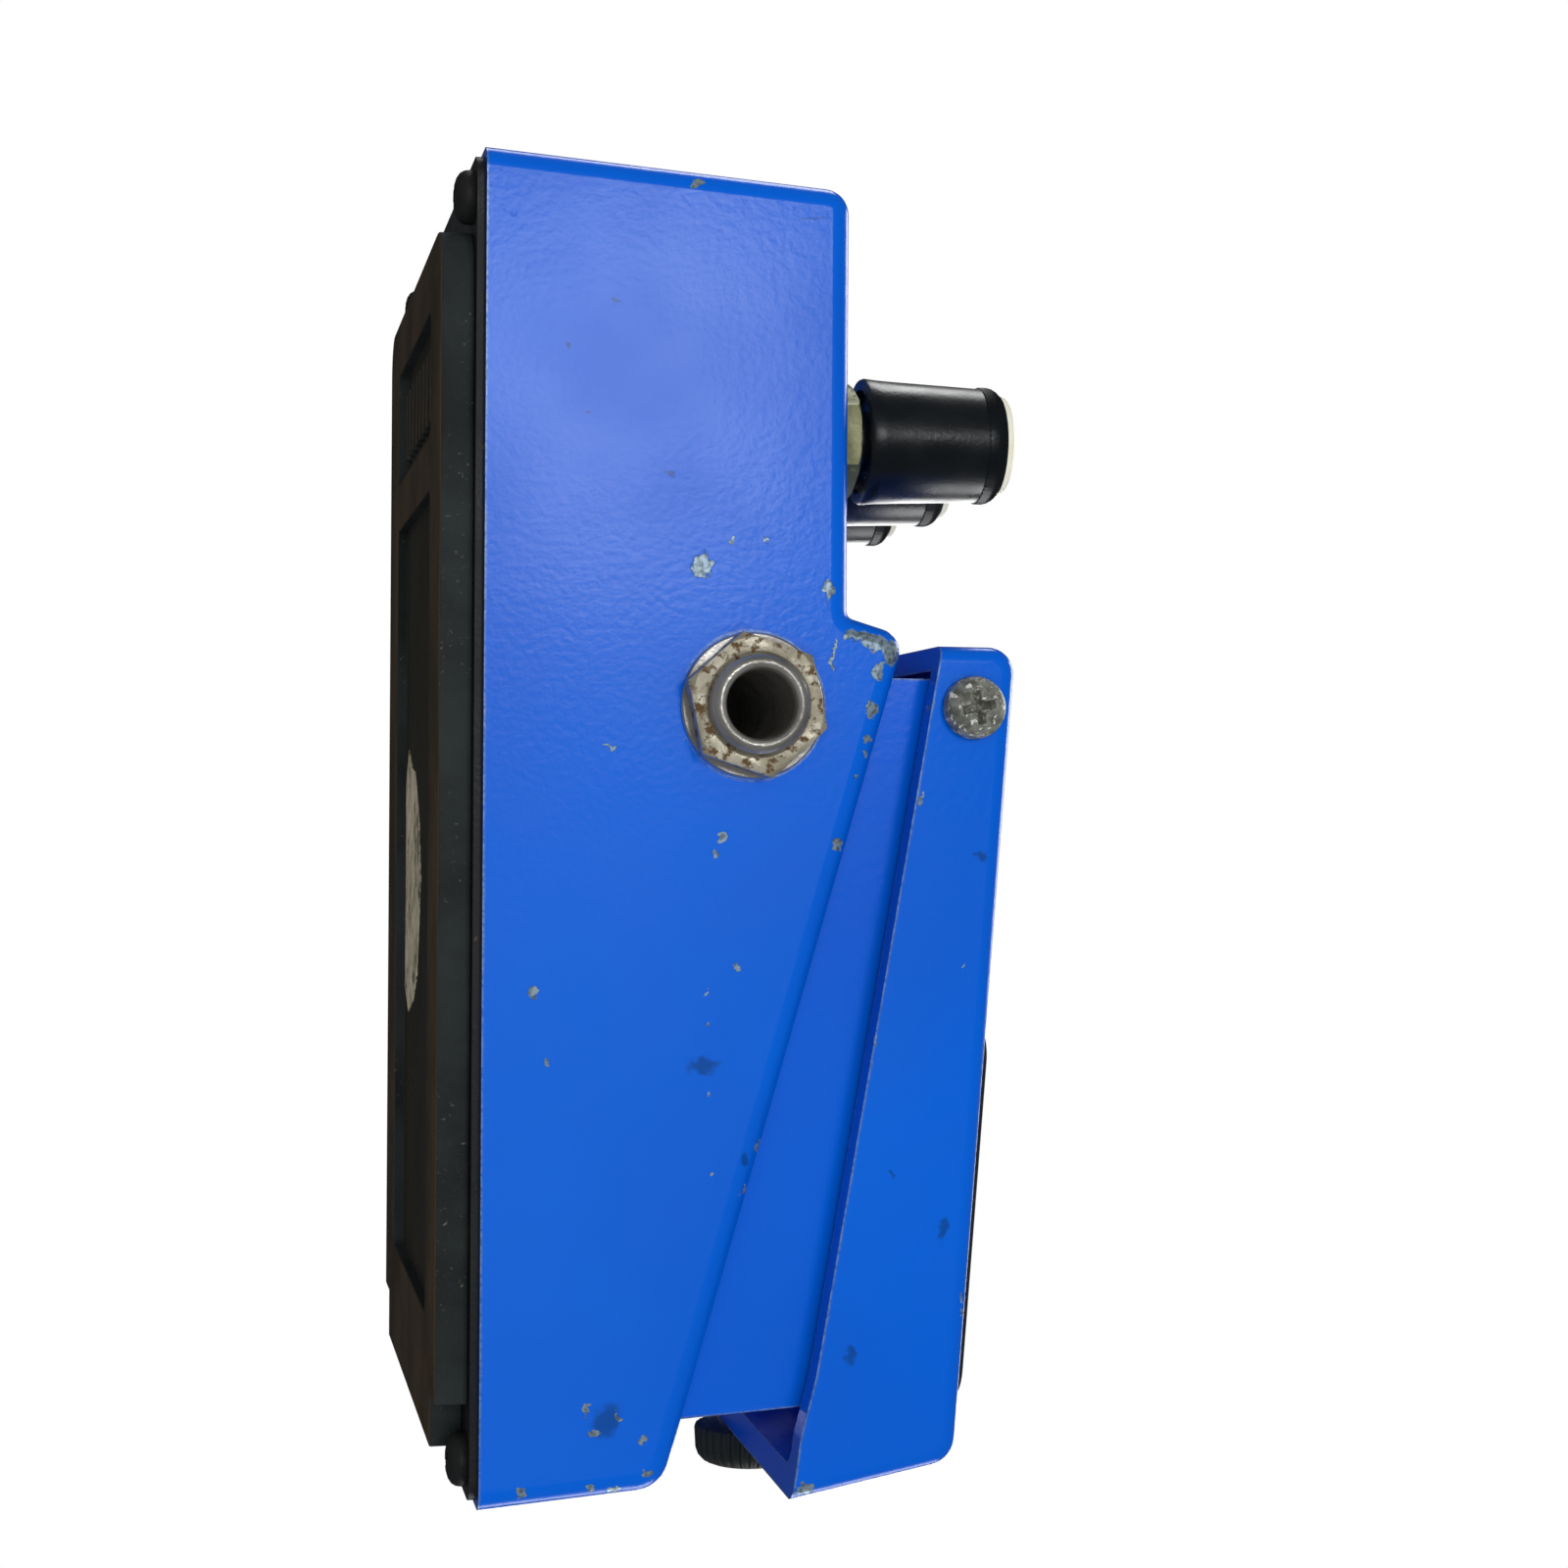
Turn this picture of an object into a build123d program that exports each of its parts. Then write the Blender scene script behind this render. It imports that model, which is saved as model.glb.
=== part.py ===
from build123d import *
import os
from math import atan2, cos, degrees, radians, sin, tan

# A compact guitar effects pedal: a die-cast housing with a rear control panel, a sprung foot treadle
# over the battery bay, jacks in both sides and a rubber sole. Millimetres.
# X runs across (the output jack is at -X), Y runs back (the player stands at -Y), Z is up.
# The origin is the middle of the sole's underside.

os.makedirs("parts", exist_ok=True)


def save(piece, name):
    """Labels a finished piece and writes it under its node's name."""
    piece.label = name
    export_step(piece, f"parts/{name}.step")


# ---------------------------------------------------------------- driving dimensions
body_width = 70.0  # at the foot of the housing
body_depth = 125.0
panel_height = 38.5  # floor to the control panel
panel_length = 42.4  # rear edge to the step
hump_rise = 5.8  # the step's height above the panel
hump_lean = 1.7
ledge_front_height = 21.1  # floor to the ledge's front edge
side_draft = 2.0  # degrees
rear_lean = 2.0
front_lean = 1.15
wall = 2.4
edge_radius = 2.0

sole_thickness = 3.1
plate_thickness = 0.8
screw_inset = 5.0  # base screws, in from the sides

treadle_rear_height = 55.3  # floor to the treadle's upper rear corner
treadle_front_height = 49.4
treadle_wall = 1.8
lip_wall = 2.7
lip_height = 16.1
flange_wall = 4.0  # from the housing's side line to the flange's inner face
pad_thickness = 1.8

hinge_drop = 4.7  # hinge axis below the treadle's upper rear corner
shoulder_radius = 1.7
running_gap = 0.05  # radial, between a shaft and the bore it turns in
side_gap = 0.3  # between faces that pass each other
treadle_travel = 3.0  # degrees
bay_wall = 3.0

jack_bore_radius = 3.2  # a quarter-inch plug
jack_height = 29.0
jack_bush_radius = 4.6
jack_nut_flats = 12.0
washer_radius = 7.0

knob_spacing = 22.0
knob_radius = 6.2
knob_height = 56.0
shaft_radius = 3.0
pot_bush_radius = 3.5
pot_nut_flats = 10.0

battery_length = 46.4
battery_width = 26.5
battery_height = 17.5

thumb_head_radius = 5.7
thumb_shank_radius = 1.5

# ---------------------------------------------------------------- places worked out from them
front_y, rear_y = -body_depth / 2, body_depth / 2
base_z = sole_thickness + plate_thickness
step_y = rear_y - panel_length
hump_y, hump_z = step_y - hump_lean, panel_height + hump_rise
ledge_y = front_y + front_lean
ledge_slope = (hump_z - ledge_front_height) / (hump_y - ledge_y)

treadle_rear_y = step_y - 2.6
treadle_front_y = front_y - 0.6  # the lip's foot, just proud of the housing
lip_lean = 2.9
lip_foot_z = treadle_front_height - lip_height
hinge_y, hinge_z = step_y - 8.5, treadle_rear_height - hinge_drop


def side_x(z):
    """Half the width of the drafted outer sides at a height."""
    return body_width / 2 - (z - base_z) * tan(radians(side_draft))


def ledge_z(y):
    """Height of the sloping ledge beside the bay."""
    return ledge_front_height + (y - ledge_y) * ledge_slope


top_corner_y = treadle_front_y + lip_lean
top_slope = (treadle_rear_height - treadle_front_height) / (treadle_rear_y - top_corner_y)
top_tilt = degrees(atan2(top_slope, 1))


def top_z(y):
    """Height of the treadle's sloping top."""
    return treadle_front_height + (y - top_corner_y) * top_slope


def under_z(y):
    """Height of the treadle's underside."""
    return top_z(y) - treadle_wall / cos(radians(top_tilt))


def pressed_z(y):
    """Lowest height that the treadle's underside reaches when it is pressed."""
    return under_z(y) - (hinge_y - y) * sin(radians(treadle_travel))


def lip_y(z):
    """Outer face of the treadle's lip at a height."""
    return treadle_front_y + (z - lip_foot_z) * lip_lean / lip_height


bay_half = body_width / 2 - 8.5  # inside the battery bay
bay_outer = bay_half + bay_wall
bay_front_y = front_y + 6.2
bay_inner_y = bay_front_y + bay_wall
bay_rear_y = hinge_y - 11.0
bay_back_wall = 2.0
bay_floor_z = 26.0
well_floor_z = 18.0
floor_wall = 2.0
stop_y = bay_rear_y - battery_width - 4.1  # front face of the rib that stops the battery
stop_wall = 1.8
stop_z = bay_floor_z + 6.0
ear_rear_y = hinge_y + 2.9
ear_front_y = hinge_y - 3.2
ear_radius = (top_z(hinge_y) - hinge_z) * cos(radians(top_tilt)) - treadle_wall - 0.35

well_y = (bay_inner_y + stop_y) / 2 + 0.7  # spring and switch stand here
spring_x, switch_x = -10.0, 12.0

thumb_z = lip_foot_z + 2.7
slot_half = thumb_shank_radius + side_gap
tip_y = bay_inner_y + 1.2
slot_drop = (hinge_y - bay_front_y) * sin(radians(treadle_travel)) + 0.3
slot_top_z = thumb_z + thumb_shank_radius + side_gap
slot_foot_z = thumb_z - thumb_shank_radius - slot_drop - side_gap
bush_wall = 1.4

jack_y = step_y - 8.6
jack_pad_x = side_x(jack_height - washer_radius) + 0.05  # flat spots under the jack washers
power_z = 17.0
power_nut_radius = 7.0
power_bush_radius = 5.6
knob_y = rear_y - 24.3
light_y = rear_y - 11.0

corner_x, corner_y = body_width / 2 - screw_inset, rear_y - 4.0
corner_posts = [(sx * corner_x, sy * corner_y) for sx in (-1, 1) for sy in (-1, 1)]
board_z, board_thickness = 9.0, 1.6
board_top = board_z + board_thickness
board_half = body_width / 2 - 7.0
board_front_y, board_rear_y = front_y + 9.5, step_y + 14.0
board_posts = [(sx * (board_half - 5.0), y) for sx in (-1, 1) for y in (bay_inner_y + 4.3, step_y + 4.4)]
control_z = 24.0
control_top = control_z + board_thickness


# ---------------------------------------------------------------- housing
def drafted_block(half_width, foot_z):
    """A tall block between the housing's two drafted side planes, inset to half_width at base_z."""
    foot_half = half_width + (base_z - foot_z) * tan(radians(side_draft))
    with BuildPart() as block:
        with BuildSketch(Plane.XY.offset(foot_z)):
            Rectangle(2 * foot_half, 2 * body_depth)
        extrude(amount=2 * panel_height, taper=side_draft)
    return block.part


body_outline = [
    (rear_y, base_z),
    (rear_y - rear_lean, panel_height),
    (step_y, panel_height),
    (hump_y, hump_z),
    (ledge_y, ledge_front_height),
    (front_y, base_z),
]
# rear edge, foot of the step, hump, front edge: the outer ones stay wider than the rim that runs round them
corner_radii = {1: edge_radius + 0.4, 2: 0.8, 3: edge_radius + 0.3, 4: edge_radius + 1.4}

with BuildPart() as housing_core:
    with BuildSketch(Plane.YZ):
        with BuildLine():
            Polyline(*body_outline, close=True)
        make_face()
        offset(amount=-wall, kind=Kind.INTERSECTION, mode=Mode.REPLACE)
        with Locations((0, base_z + wall / 2)):
            Rectangle(body_depth - 2 * wall - 1.0, 2 * wall)
    extrude(amount=body_width, both=True)
    add(drafted_block(body_width / 2 - wall, 0), mode=Mode.INTERSECT)

bay_outline = [
    (bay_front_y, well_floor_z - floor_wall),
    (bay_front_y + 1.7, pressed_z(bay_front_y) - 0.7),
    (ear_front_y, pressed_z(ear_front_y) - 1.7),
    (hinge_y - 1.2, hinge_z + ear_radius),
    (hinge_y + 1.6, hinge_z + ear_radius),
    (ear_rear_y, hinge_z + ear_radius - 1.4),
    (ear_rear_y, ledge_z(ear_rear_y) - wall / 2),
    (bay_rear_y + bay_back_wall, ledge_z(bay_rear_y + bay_back_wall) - wall / 2),
    (bay_rear_y + bay_back_wall, bay_floor_z - floor_wall),
    (stop_y + floor_wall, bay_floor_z - floor_wall),
    (stop_y + floor_wall, well_floor_z - floor_wall),
]
pocket_outline = [
    (bay_inner_y, well_floor_z),
    (stop_y, well_floor_z),
    (stop_y, stop_z),
    (stop_y + stop_wall, stop_z),
    (stop_y + stop_wall, bay_floor_z),
    (bay_rear_y, bay_floor_z),
    (bay_rear_y, 2 * panel_height),
    (bay_inner_y, 2 * panel_height),
]
between_ears = [
    (bay_rear_y + bay_back_wall, ledge_z(bay_rear_y + bay_back_wall)),
    (step_y, ledge_z(step_y)),
    (step_y, 2 * panel_height),
    (bay_rear_y + bay_back_wall, 2 * panel_height),
]
jack_hole_radius = jack_bush_radius + 0.2
power_pad_y = rear_y - 0.3

with BuildPart() as housing:
    with BuildSketch(Plane.YZ) as body_view:
        with BuildLine():
            Polyline(*body_outline, close=True)
        make_face()
        for corner, radius in corner_radii.items():
            fillet(body_view.vertices().sort_by_distance(Vector(*body_outline[corner]))[0], radius)
    extrude(amount=body_width, both=True)
    add(drafted_block(body_width / 2, base_z), mode=Mode.INTERSECT)
    for side_face in (housing.faces().sort_by(Axis.X)[0], housing.faces().sort_by(Axis.X)[-1]):
        rim = side_face.edges().filter_by(lambda edge: edge.center().Z > base_z + 0.1)
        fillet(rim, edge_radius)
    # flat spots for the jacks' washers and the power socket's nut
    for side in (-1, 1):
        with BuildSketch(Plane.YZ.offset(side * jack_pad_x)):
            with Locations((jack_y, jack_height)):
                Circle(washer_radius)
        extrude(amount=-side * wall)
    with BuildSketch(Plane.XZ.offset(-power_pad_y)):
        with Locations((0, power_z)):
            Circle(power_nut_radius)
    extrude(amount=wall)
    add(housing_core.part, mode=Mode.SUBTRACT)
    # battery bay: its walls, floor and hinge ears, then the pocket
    with BuildSketch(Plane.YZ):
        with BuildLine():
            Polyline(*bay_outline, close=True)
        make_face()
    extrude(amount=bay_outer, both=True)
    for outline in (pocket_outline, between_ears):
        with BuildSketch(Plane.YZ):
            with BuildLine():
                Polyline(*outline, close=True)
            make_face()
        extrude(amount=bay_half, both=True, mode=Mode.SUBTRACT)
    # posts for the base screws and the main board
    with BuildSketch(Plane.XY.offset(base_z)):
        with Locations(*corner_posts):
            Circle(3.4)
    extrude(amount=12.0)
    for x, y in board_posts:
        ceiling = well_floor_z - floor_wall / 2 if y < 0 else panel_height - wall / 2
        with BuildSketch(Plane.XY.offset(board_top)):
            with Locations((x, y)):
                Circle(3.0)
        extrude(amount=ceiling - board_top)
    with BuildSketch(Plane.XY.offset(base_z)):
        with Locations(*corner_posts):
            Circle(1.5)
    extrude(amount=8.0, mode=Mode.SUBTRACT)
    with BuildSketch(Plane.XY.offset(board_top)):
        with Locations(*board_posts):
            Circle(1.2)
    extrude(amount=4.4, mode=Mode.SUBTRACT)
    # holes: controls and light, jacks, power socket, hinge screws, guide bush, battery leads
    with BuildSketch(Plane.XY.offset(panel_height + 1)):
        with Locations(*[(k * knob_spacing, knob_y) for k in (-1, 0, 1)]):
            Circle(pot_bush_radius + 0.1)
        with Locations((0, light_y)):
            Circle(2.5)
    extrude(amount=-wall - 2, mode=Mode.SUBTRACT)
    with BuildSketch(Plane.YZ):
        with Locations((jack_y, jack_height)):
            Circle(jack_hole_radius)
    extrude(amount=body_width, both=True, mode=Mode.SUBTRACT)
    with BuildSketch(Plane.XZ.offset(-rear_y - 1)):
        with Locations((0, power_z)):
            Circle(power_bush_radius + 0.1)
    extrude(amount=8.0, mode=Mode.SUBTRACT)
    with BuildSketch(Plane.YZ):
        with Locations((hinge_y, hinge_z)):
            Circle(1.25)
    extrude(amount=body_width, both=True, mode=Mode.SUBTRACT)
    with BuildSketch(Plane.XZ.offset(-bay_inner_y - 1)):
        with Locations((0, (slot_top_z + slot_foot_z) / 2)):
            Rectangle(2 * (slot_half + bush_wall), slot_top_z - slot_foot_z + 2 * bush_wall)
    extrude(amount=bay_wall + 2, mode=Mode.SUBTRACT)
    with BuildSketch(Plane.XY.offset(bay_floor_z + 1)):
        with Locations((bay_half - 3.0, bay_rear_y - 8.6)):
            Circle(2.4)
    extrude(amount=-floor_wall - 2, mode=Mode.SUBTRACT)
save(housing.part, "housing")

# ---------------------------------------------------------------- base plate, sole and their screws
with BuildPart() as base_plate:
    with BuildSketch(Plane.XY.offset(sole_thickness)):
        RectangleRounded(body_width - 1.6, body_depth - 1.4, 2.2)
        with Locations(*corner_posts):
            Circle(1.7, mode=Mode.SUBTRACT)
    extrude(amount=plate_thickness)
save(base_plate.part, "base_plate")

sole_half = body_width / 2 - 2.5
screw_head_radius = 2.5
notch_x = body_width / 2 - screw_inset - screw_head_radius - 0.4  # the sole's front corners clear the screws
sole_front_y, sole_rear_y = front_y + 4.5, rear_y - 7.0
label_recess = (2 * 21.4, 78.9, front_y + 55.35)  # width, length, centre
small_recess = (2 * 21.4, 12.0, rear_y - 19.0)
recess_depth = 1.2
with BuildPart() as rubber_sole:
    with BuildSketch(Plane.XY):
        with Locations((0, (sole_front_y + sole_rear_y) / 2)):
            RectangleRounded(2 * sole_half, sole_rear_y - sole_front_y, 4.5)
        with Locations(*[(sx * sole_half, sole_front_y) for sx in (-1, 1)]):
            Rectangle(2 * (sole_half - notch_x), 2 * 5.0, mode=Mode.SUBTRACT)
    extrude(amount=sole_thickness)
    with BuildSketch(Plane.XY):
        for width, length, centre in (label_recess, small_recess):
            with Locations((0, centre)):
                RectangleRounded(width, length, 1.5)
    extrude(amount=recess_depth, mode=Mode.SUBTRACT)
save(rubber_sole.part, "rubber_sole")

with BuildPart() as base_screws:
    with BuildSketch(Plane.XY.offset(sole_thickness)):
        with Locations(*corner_posts):
            Circle(screw_head_radius)
    extrude(amount=-1.8)
    chamfer(base_screws.edges().filter_by(GeomType.CIRCLE).group_by(Axis.Z)[0], 0.5)
    with BuildSketch(Plane.XY.offset(sole_thickness)):
        with Locations(*corner_posts):
            Circle(1.5)
    extrude(amount=plate_thickness + 7.0)
save(base_screws.part, "base_screws")

with BuildPart() as insulating_sheet:
    with BuildSketch(Plane.XY.offset(base_z)):
        Rectangle(body_width - 2 * wall - 4.0, body_depth - 2 * wall - 6.0)
        with Locations(*corner_posts):
            Rectangle(10.0, 10.0, mode=Mode.SUBTRACT)
    extrude(amount=0.3)
save(insulating_sheet.part, "insulating_sheet")

# ---------------------------------------------------------------- treadle
flange_x = body_width / 2 - flange_wall
treadle_outline = [
    (treadle_rear_y, lip_foot_z + 14.3),
    (treadle_rear_y, treadle_rear_height),
    (top_corner_y, treadle_front_height),
    (treadle_front_y, lip_foot_z),
    (treadle_front_y + 5.9, lip_foot_z + 0.8),
    (treadle_front_y + 11.7, lip_foot_z + 2.3),
]
treadle_radii = {1: 2.5, 2: 2.8}
rear_inner_y = treadle_rear_y - 2.3
lip_shift = lip_wall * 1.02
top_inner_y = top_corner_y + lip_shift
hollow_outline = [
    (rear_inner_y, 0),
    (rear_inner_y, under_z(rear_inner_y)),
    (lip_y(under_z(top_inner_y)) + lip_shift, under_z(top_inner_y)),
    (lip_y(0) + lip_shift, 0),
]
boss_x = bay_outer + side_gap

with BuildPart() as treadle_core:
    with BuildSketch(Plane.YZ):
        with BuildLine():
            Polyline(*hollow_outline, close=True)
        make_face()
    extrude(amount=flange_x, both=True)
    upright = treadle_core.faces().sort_by(Axis.Y)[0].edges().filter_by(Axis.X, reverse=True)
    fillet(upright, 1.5)

with BuildPart() as treadle:
    with BuildSketch(Plane.YZ) as treadle_view:
        with BuildLine():
            Polyline(*treadle_outline, close=True)
        make_face()
        for corner, radius in treadle_radii.items():
            fillet(treadle_view.vertices().sort_by_distance(Vector(*treadle_outline[corner]))[0], radius)
    extrude(amount=body_width, both=True)
    add(drafted_block(body_width / 2, base_z), mode=Mode.INTERSECT)
    flange_slope = (treadle_outline[0][1] - treadle_outline[5][1]) / (treadle_rear_y - treadle_outline[5][0])
    for side_face in (treadle.faces().sort_by(Axis.X)[0], treadle.faces().sort_by(Axis.X)[-1]):
        rim = side_face.edges().filter_by(
            lambda edge: edge.center().Z
            > treadle_outline[5][1] + (edge.center().Y - treadle_outline[5][0]) * flange_slope + 1.5
        )
        fillet(rim, 1.6)
    add(treadle_core.part, mode=Mode.SUBTRACT)
    # bosses on the inside of the flanges, and the holes for the hinge bushes
    for side in (-1, 1):
        with BuildSketch(Plane.YZ.offset(side * boss_x)):
            with Locations((hinge_y, hinge_z)):
                Circle(3.9)
        extrude(amount=side * (flange_x - boss_x))
    with BuildSketch(Plane.YZ):
        with Locations((hinge_y, hinge_z)):
            Circle(2.6)
    extrude(amount=body_width, both=True, mode=Mode.SUBTRACT)
    with BuildSketch(Plane.XZ.offset(-bay_front_y)):
        with Locations((0, thumb_z)):
            Circle(thumb_shank_radius + running_gap)
    extrude(amount=12.0, mode=Mode.SUBTRACT)
save(treadle.part, "treadle")

pad_front_y, pad_rear_y = front_y + 7.0, hinge_y - 31.1
pad_y = (pad_front_y + pad_rear_y) / 2
pad_plane = Plane(origin=(0, pad_y, top_z(pad_y)), x_dir=(1, 0, 0), z_dir=(0, -top_slope, 1))
with BuildPart() as treadle_pad:
    with BuildSketch(pad_plane):
        RectangleRounded(body_width - 13.0, pad_rear_y - pad_front_y, 3.0)
    extrude(amount=pad_thickness)
    fillet(treadle_pad.faces().sort_by(Axis.Z)[-1].edges(), 0.7)
save(treadle_pad.part, "treadle_pad")

# ---------------------------------------------------------------- hinge screws and bushes
flange_outer_x = side_x(hinge_z)
head_x = flange_outer_x + 0.4
with BuildPart() as hinge_screws:
    for side in (-1, 1):
        with BuildSketch(Plane.YZ.offset(side * head_x)):
            with Locations((hinge_y, hinge_z)):
                Circle(3.0)
        extrude(amount=side * 2.1)
        head_rim = hinge_screws.edges().filter_by(GeomType.CIRCLE).sort_by(Axis.X)[-1 if side > 0 else 0]
        fillet(head_rim, 0.9)
        with BuildSketch(Plane.YZ.offset(side * head_x)):
            with Locations((hinge_y, hinge_z)):
                Circle(shoulder_radius)
        extrude(amount=-side * (head_x - bay_outer))
        with BuildSketch(Plane.YZ.offset(side * bay_outer)):
            with Locations((hinge_y, hinge_z)):
                Circle(1.25)
        extrude(amount=-side * (bay_wall - 0.2))
save(hinge_screws.part, "hinge_screws")

with BuildPart() as hinge_bushes:
    for side in (-1, 1):
        with BuildSketch(Plane.YZ.offset(side * boss_x)):
            with Locations((hinge_y, hinge_z)):
                Circle(2.6)
                Circle(shoulder_radius + running_gap, mode=Mode.SUBTRACT)
        extrude(amount=side * (flange_outer_x - 0.1 - boss_x))
save(hinge_bushes.part, "hinge_bushes")

# ---------------------------------------------------------------- thumbscrew and its guide bush
head_rear_y = lip_y(thumb_z) - 0.6
head_front_y = front_y - 4.8
with BuildPart() as thumbscrew_head:
    with BuildSketch(Plane.XZ.offset(-head_rear_y)):
        with Locations((0, thumb_z)):
            Circle(thumb_head_radius)
    extrude(amount=head_rear_y - head_front_y)
    fillet(thumbscrew_head.edges().filter_by(GeomType.CIRCLE).sort_by(Axis.Y)[0], 1.4)
save(thumbscrew_head.part, "thumbscrew_head")

with BuildPart() as thumbscrew_shank:
    with BuildSketch(Plane.XZ.offset(-head_rear_y)):
        with Locations((0, thumb_z)):
            Circle(thumb_shank_radius)
    extrude(amount=-(tip_y - head_rear_y))
    chamfer(thumbscrew_shank.edges().filter_by(GeomType.CIRCLE).sort_by(Axis.Y)[-1], 0.5)
save(thumbscrew_shank.part, "thumbscrew_shank")

with BuildPart() as guide_bush:
    with BuildSketch(Plane.XZ.offset(-bay_inner_y - 0.2)):
        with Locations((0, (slot_top_z + slot_foot_z) / 2)):
            Rectangle(2 * (slot_half + bush_wall), slot_top_z - slot_foot_z + 2 * bush_wall)
            Rectangle(2 * slot_half, slot_top_z - slot_foot_z, mode=Mode.SUBTRACT)
    extrude(amount=bay_wall + 0.2)
save(guide_bush.part, "guide_bush")

# ---------------------------------------------------------------- return spring
coil_radius, coil_inner_radius = 6.2, 5.0
seat_z = well_floor_z + 2.0
cup_z = under_z(well_y) - 3.0
underside = Plane(origin=(0, well_y, under_z(well_y)), x_dir=(1, 0, 0), z_dir=(0, -top_slope, 1))

with BuildPart() as spring_seat:
    with BuildSketch(Plane.XY.offset(well_floor_z)):
        with Locations((spring_x, well_y)):
            Circle(coil_radius + 0.8)
    extrude(amount=seat_z - well_floor_z)
    with BuildSketch(Plane.XY.offset(seat_z)):
        with Locations((spring_x, well_y)):
            Circle(coil_inner_radius - 0.4)
    extrude(amount=4.0)
save(spring_seat.part, "spring_seat")

with BuildPart() as spring_cup:
    with BuildSketch(Plane.XY.offset(cup_z)):
        with Locations((spring_x, well_y)):
            Circle(coil_radius + 0.8)
    extrude(amount=6.0)
    split(bisect_by=underside, keep=Keep.BOTTOM)
    with BuildSketch(Plane.XY.offset(cup_z)):
        with Locations((spring_x, well_y)):
            Circle(coil_inner_radius - 0.4)
    extrude(amount=-4.0)
save(spring_cup.part, "spring_cup")

with BuildPart() as return_spring:
    with BuildSketch(Plane.XY.offset(seat_z)):
        with Locations((spring_x, well_y)):
            Circle(coil_radius)
            Circle(coil_inner_radius, mode=Mode.SUBTRACT)
    extrude(amount=cup_z - seat_z)
save(return_spring.part, "return_spring")

# ---------------------------------------------------------------- foot switch
plunger_radius = 3.0
plunger_top_z = 37.5
plunger_foot_z = well_floor_z + 4.5
switch_top_z = well_floor_z + 9.0
with BuildPart() as foot_switch:
    with BuildSketch(Plane.XY.offset(well_floor_z)):
        with Locations((switch_x, well_y)):
            RectangleRounded(12.0, 12.0, 1.0)
    extrude(amount=switch_top_z - well_floor_z)
    with BuildSketch(Plane.XY.offset(switch_top_z)):
        with Locations((switch_x, well_y)):
            Circle(plunger_radius + running_gap)
    extrude(amount=-(switch_top_z - well_floor_z - 1.5), mode=Mode.SUBTRACT)
save(foot_switch.part, "foot_switch")

with BuildPart() as switch_plunger:
    with BuildSketch(Plane.XY.offset(plunger_foot_z)):
        with Locations((switch_x, well_y)):
            Circle(plunger_radius)
    extrude(amount=plunger_top_z - plunger_foot_z)
    fillet(switch_plunger.edges().filter_by(GeomType.CIRCLE).sort_by(Axis.Z)[-1], 1.2)
save(switch_plunger.part, "switch_plunger")

with BuildPart() as switch_boot:
    with BuildSketch(Plane.XY.offset(switch_top_z)):
        with Locations((switch_x, well_y)):
            Circle(plunger_radius + 2.2)
            Circle(plunger_radius + side_gap, mode=Mode.SUBTRACT)
    extrude(amount=3.0, taper=12)
save(switch_boot.part, "switch_boot")

with BuildPart() as treadle_post:
    with BuildSketch(Plane.XY.offset(plunger_top_z + 0.5)):
        with Locations((switch_x, well_y)):
            Circle(3.5)
    extrude(amount=20.0)
    split(bisect_by=underside, keep=Keep.BOTTOM)
save(treadle_post.part, "treadle_post")

# ---------------------------------------------------------------- battery, its snap and leads
battery_y = bay_rear_y - 1.5 - battery_width / 2
battery_z = bay_floor_z + 1.0
battery_x = bay_half - 5.2 - battery_length  # low end of the battery's case
terminal_x = battery_x + battery_length
terminal_z = battery_z + battery_height / 2
terminals = [(battery_y - 6.35, terminal_z), (battery_y + 6.35, terminal_z)]

with BuildPart() as battery_foam:
    with BuildSketch(Plane.XY.offset(bay_floor_z)):
        with Locations((0, battery_y)):
            Rectangle(2 * bay_half - 16.0, battery_width - 3.0)
    extrude(amount=battery_z - bay_floor_z)
save(battery_foam.part, "battery_foam")

with BuildPart() as battery:
    with BuildSketch(Plane.YZ.offset(battery_x)):
        with Locations((battery_y, terminal_z)):
            RectangleRounded(battery_width, battery_height, 2.0)
    extrude(amount=battery_length)
    with BuildSketch(Plane.YZ.offset(terminal_x)):
        with Locations(*terminals):
            Circle(2.9)
    extrude(amount=2.0)
save(battery.part, "battery")

snap_foot_z = terminal_z - 5.5
lead_y = bay_rear_y - 8.6
with BuildPart() as battery_snap:
    with BuildSketch(Plane.YZ.offset(terminal_x)):
        with Locations((battery_y, terminal_z)):
            RectangleRounded(battery_width - 4.0, 11.0, 1.5)
    extrude(amount=4.0)
    with BuildSketch(Plane.YZ.offset(terminal_x)):
        with Locations(*terminals):
            Circle(3.2)
    extrude(amount=2.4, mode=Mode.SUBTRACT)
save(battery_snap.part, "battery_snap")

lead_radius = 0.6
lead_places = [(bay_half - 3.0 + dx, lead_y) for dx in (-0.9, 0.9)]
with BuildPart() as battery_leads:
    with BuildSketch(Plane.XY.offset(board_top)):
        with Locations(*lead_places):
            Circle(lead_radius)
    extrude(amount=snap_foot_z - board_top)
save(battery_leads.part, "battery_leads")

with BuildPart() as lead_grommet:
    with BuildSketch(Plane.XY.offset(bay_floor_z - floor_wall)):
        with Locations((bay_half - 3.0, lead_y)):
            Circle(2.4)
        with Locations(*lead_places):
            Circle(lead_radius, mode=Mode.SUBTRACT)
    extrude(amount=floor_wall)
save(lead_grommet.part, "lead_grommet")

# ---------------------------------------------------------------- main board
with BuildPart() as main_board:
    with BuildSketch(Plane.XY.offset(board_z)):
        with Locations((0, (board_front_y + board_rear_y) / 2)):
            RectangleRounded(2 * board_half, board_rear_y - board_front_y, 1.0)
        with Locations(*board_posts):
            Circle(1.4, mode=Mode.SUBTRACT)
    extrude(amount=board_thickness)
save(main_board.part, "main_board")

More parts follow.
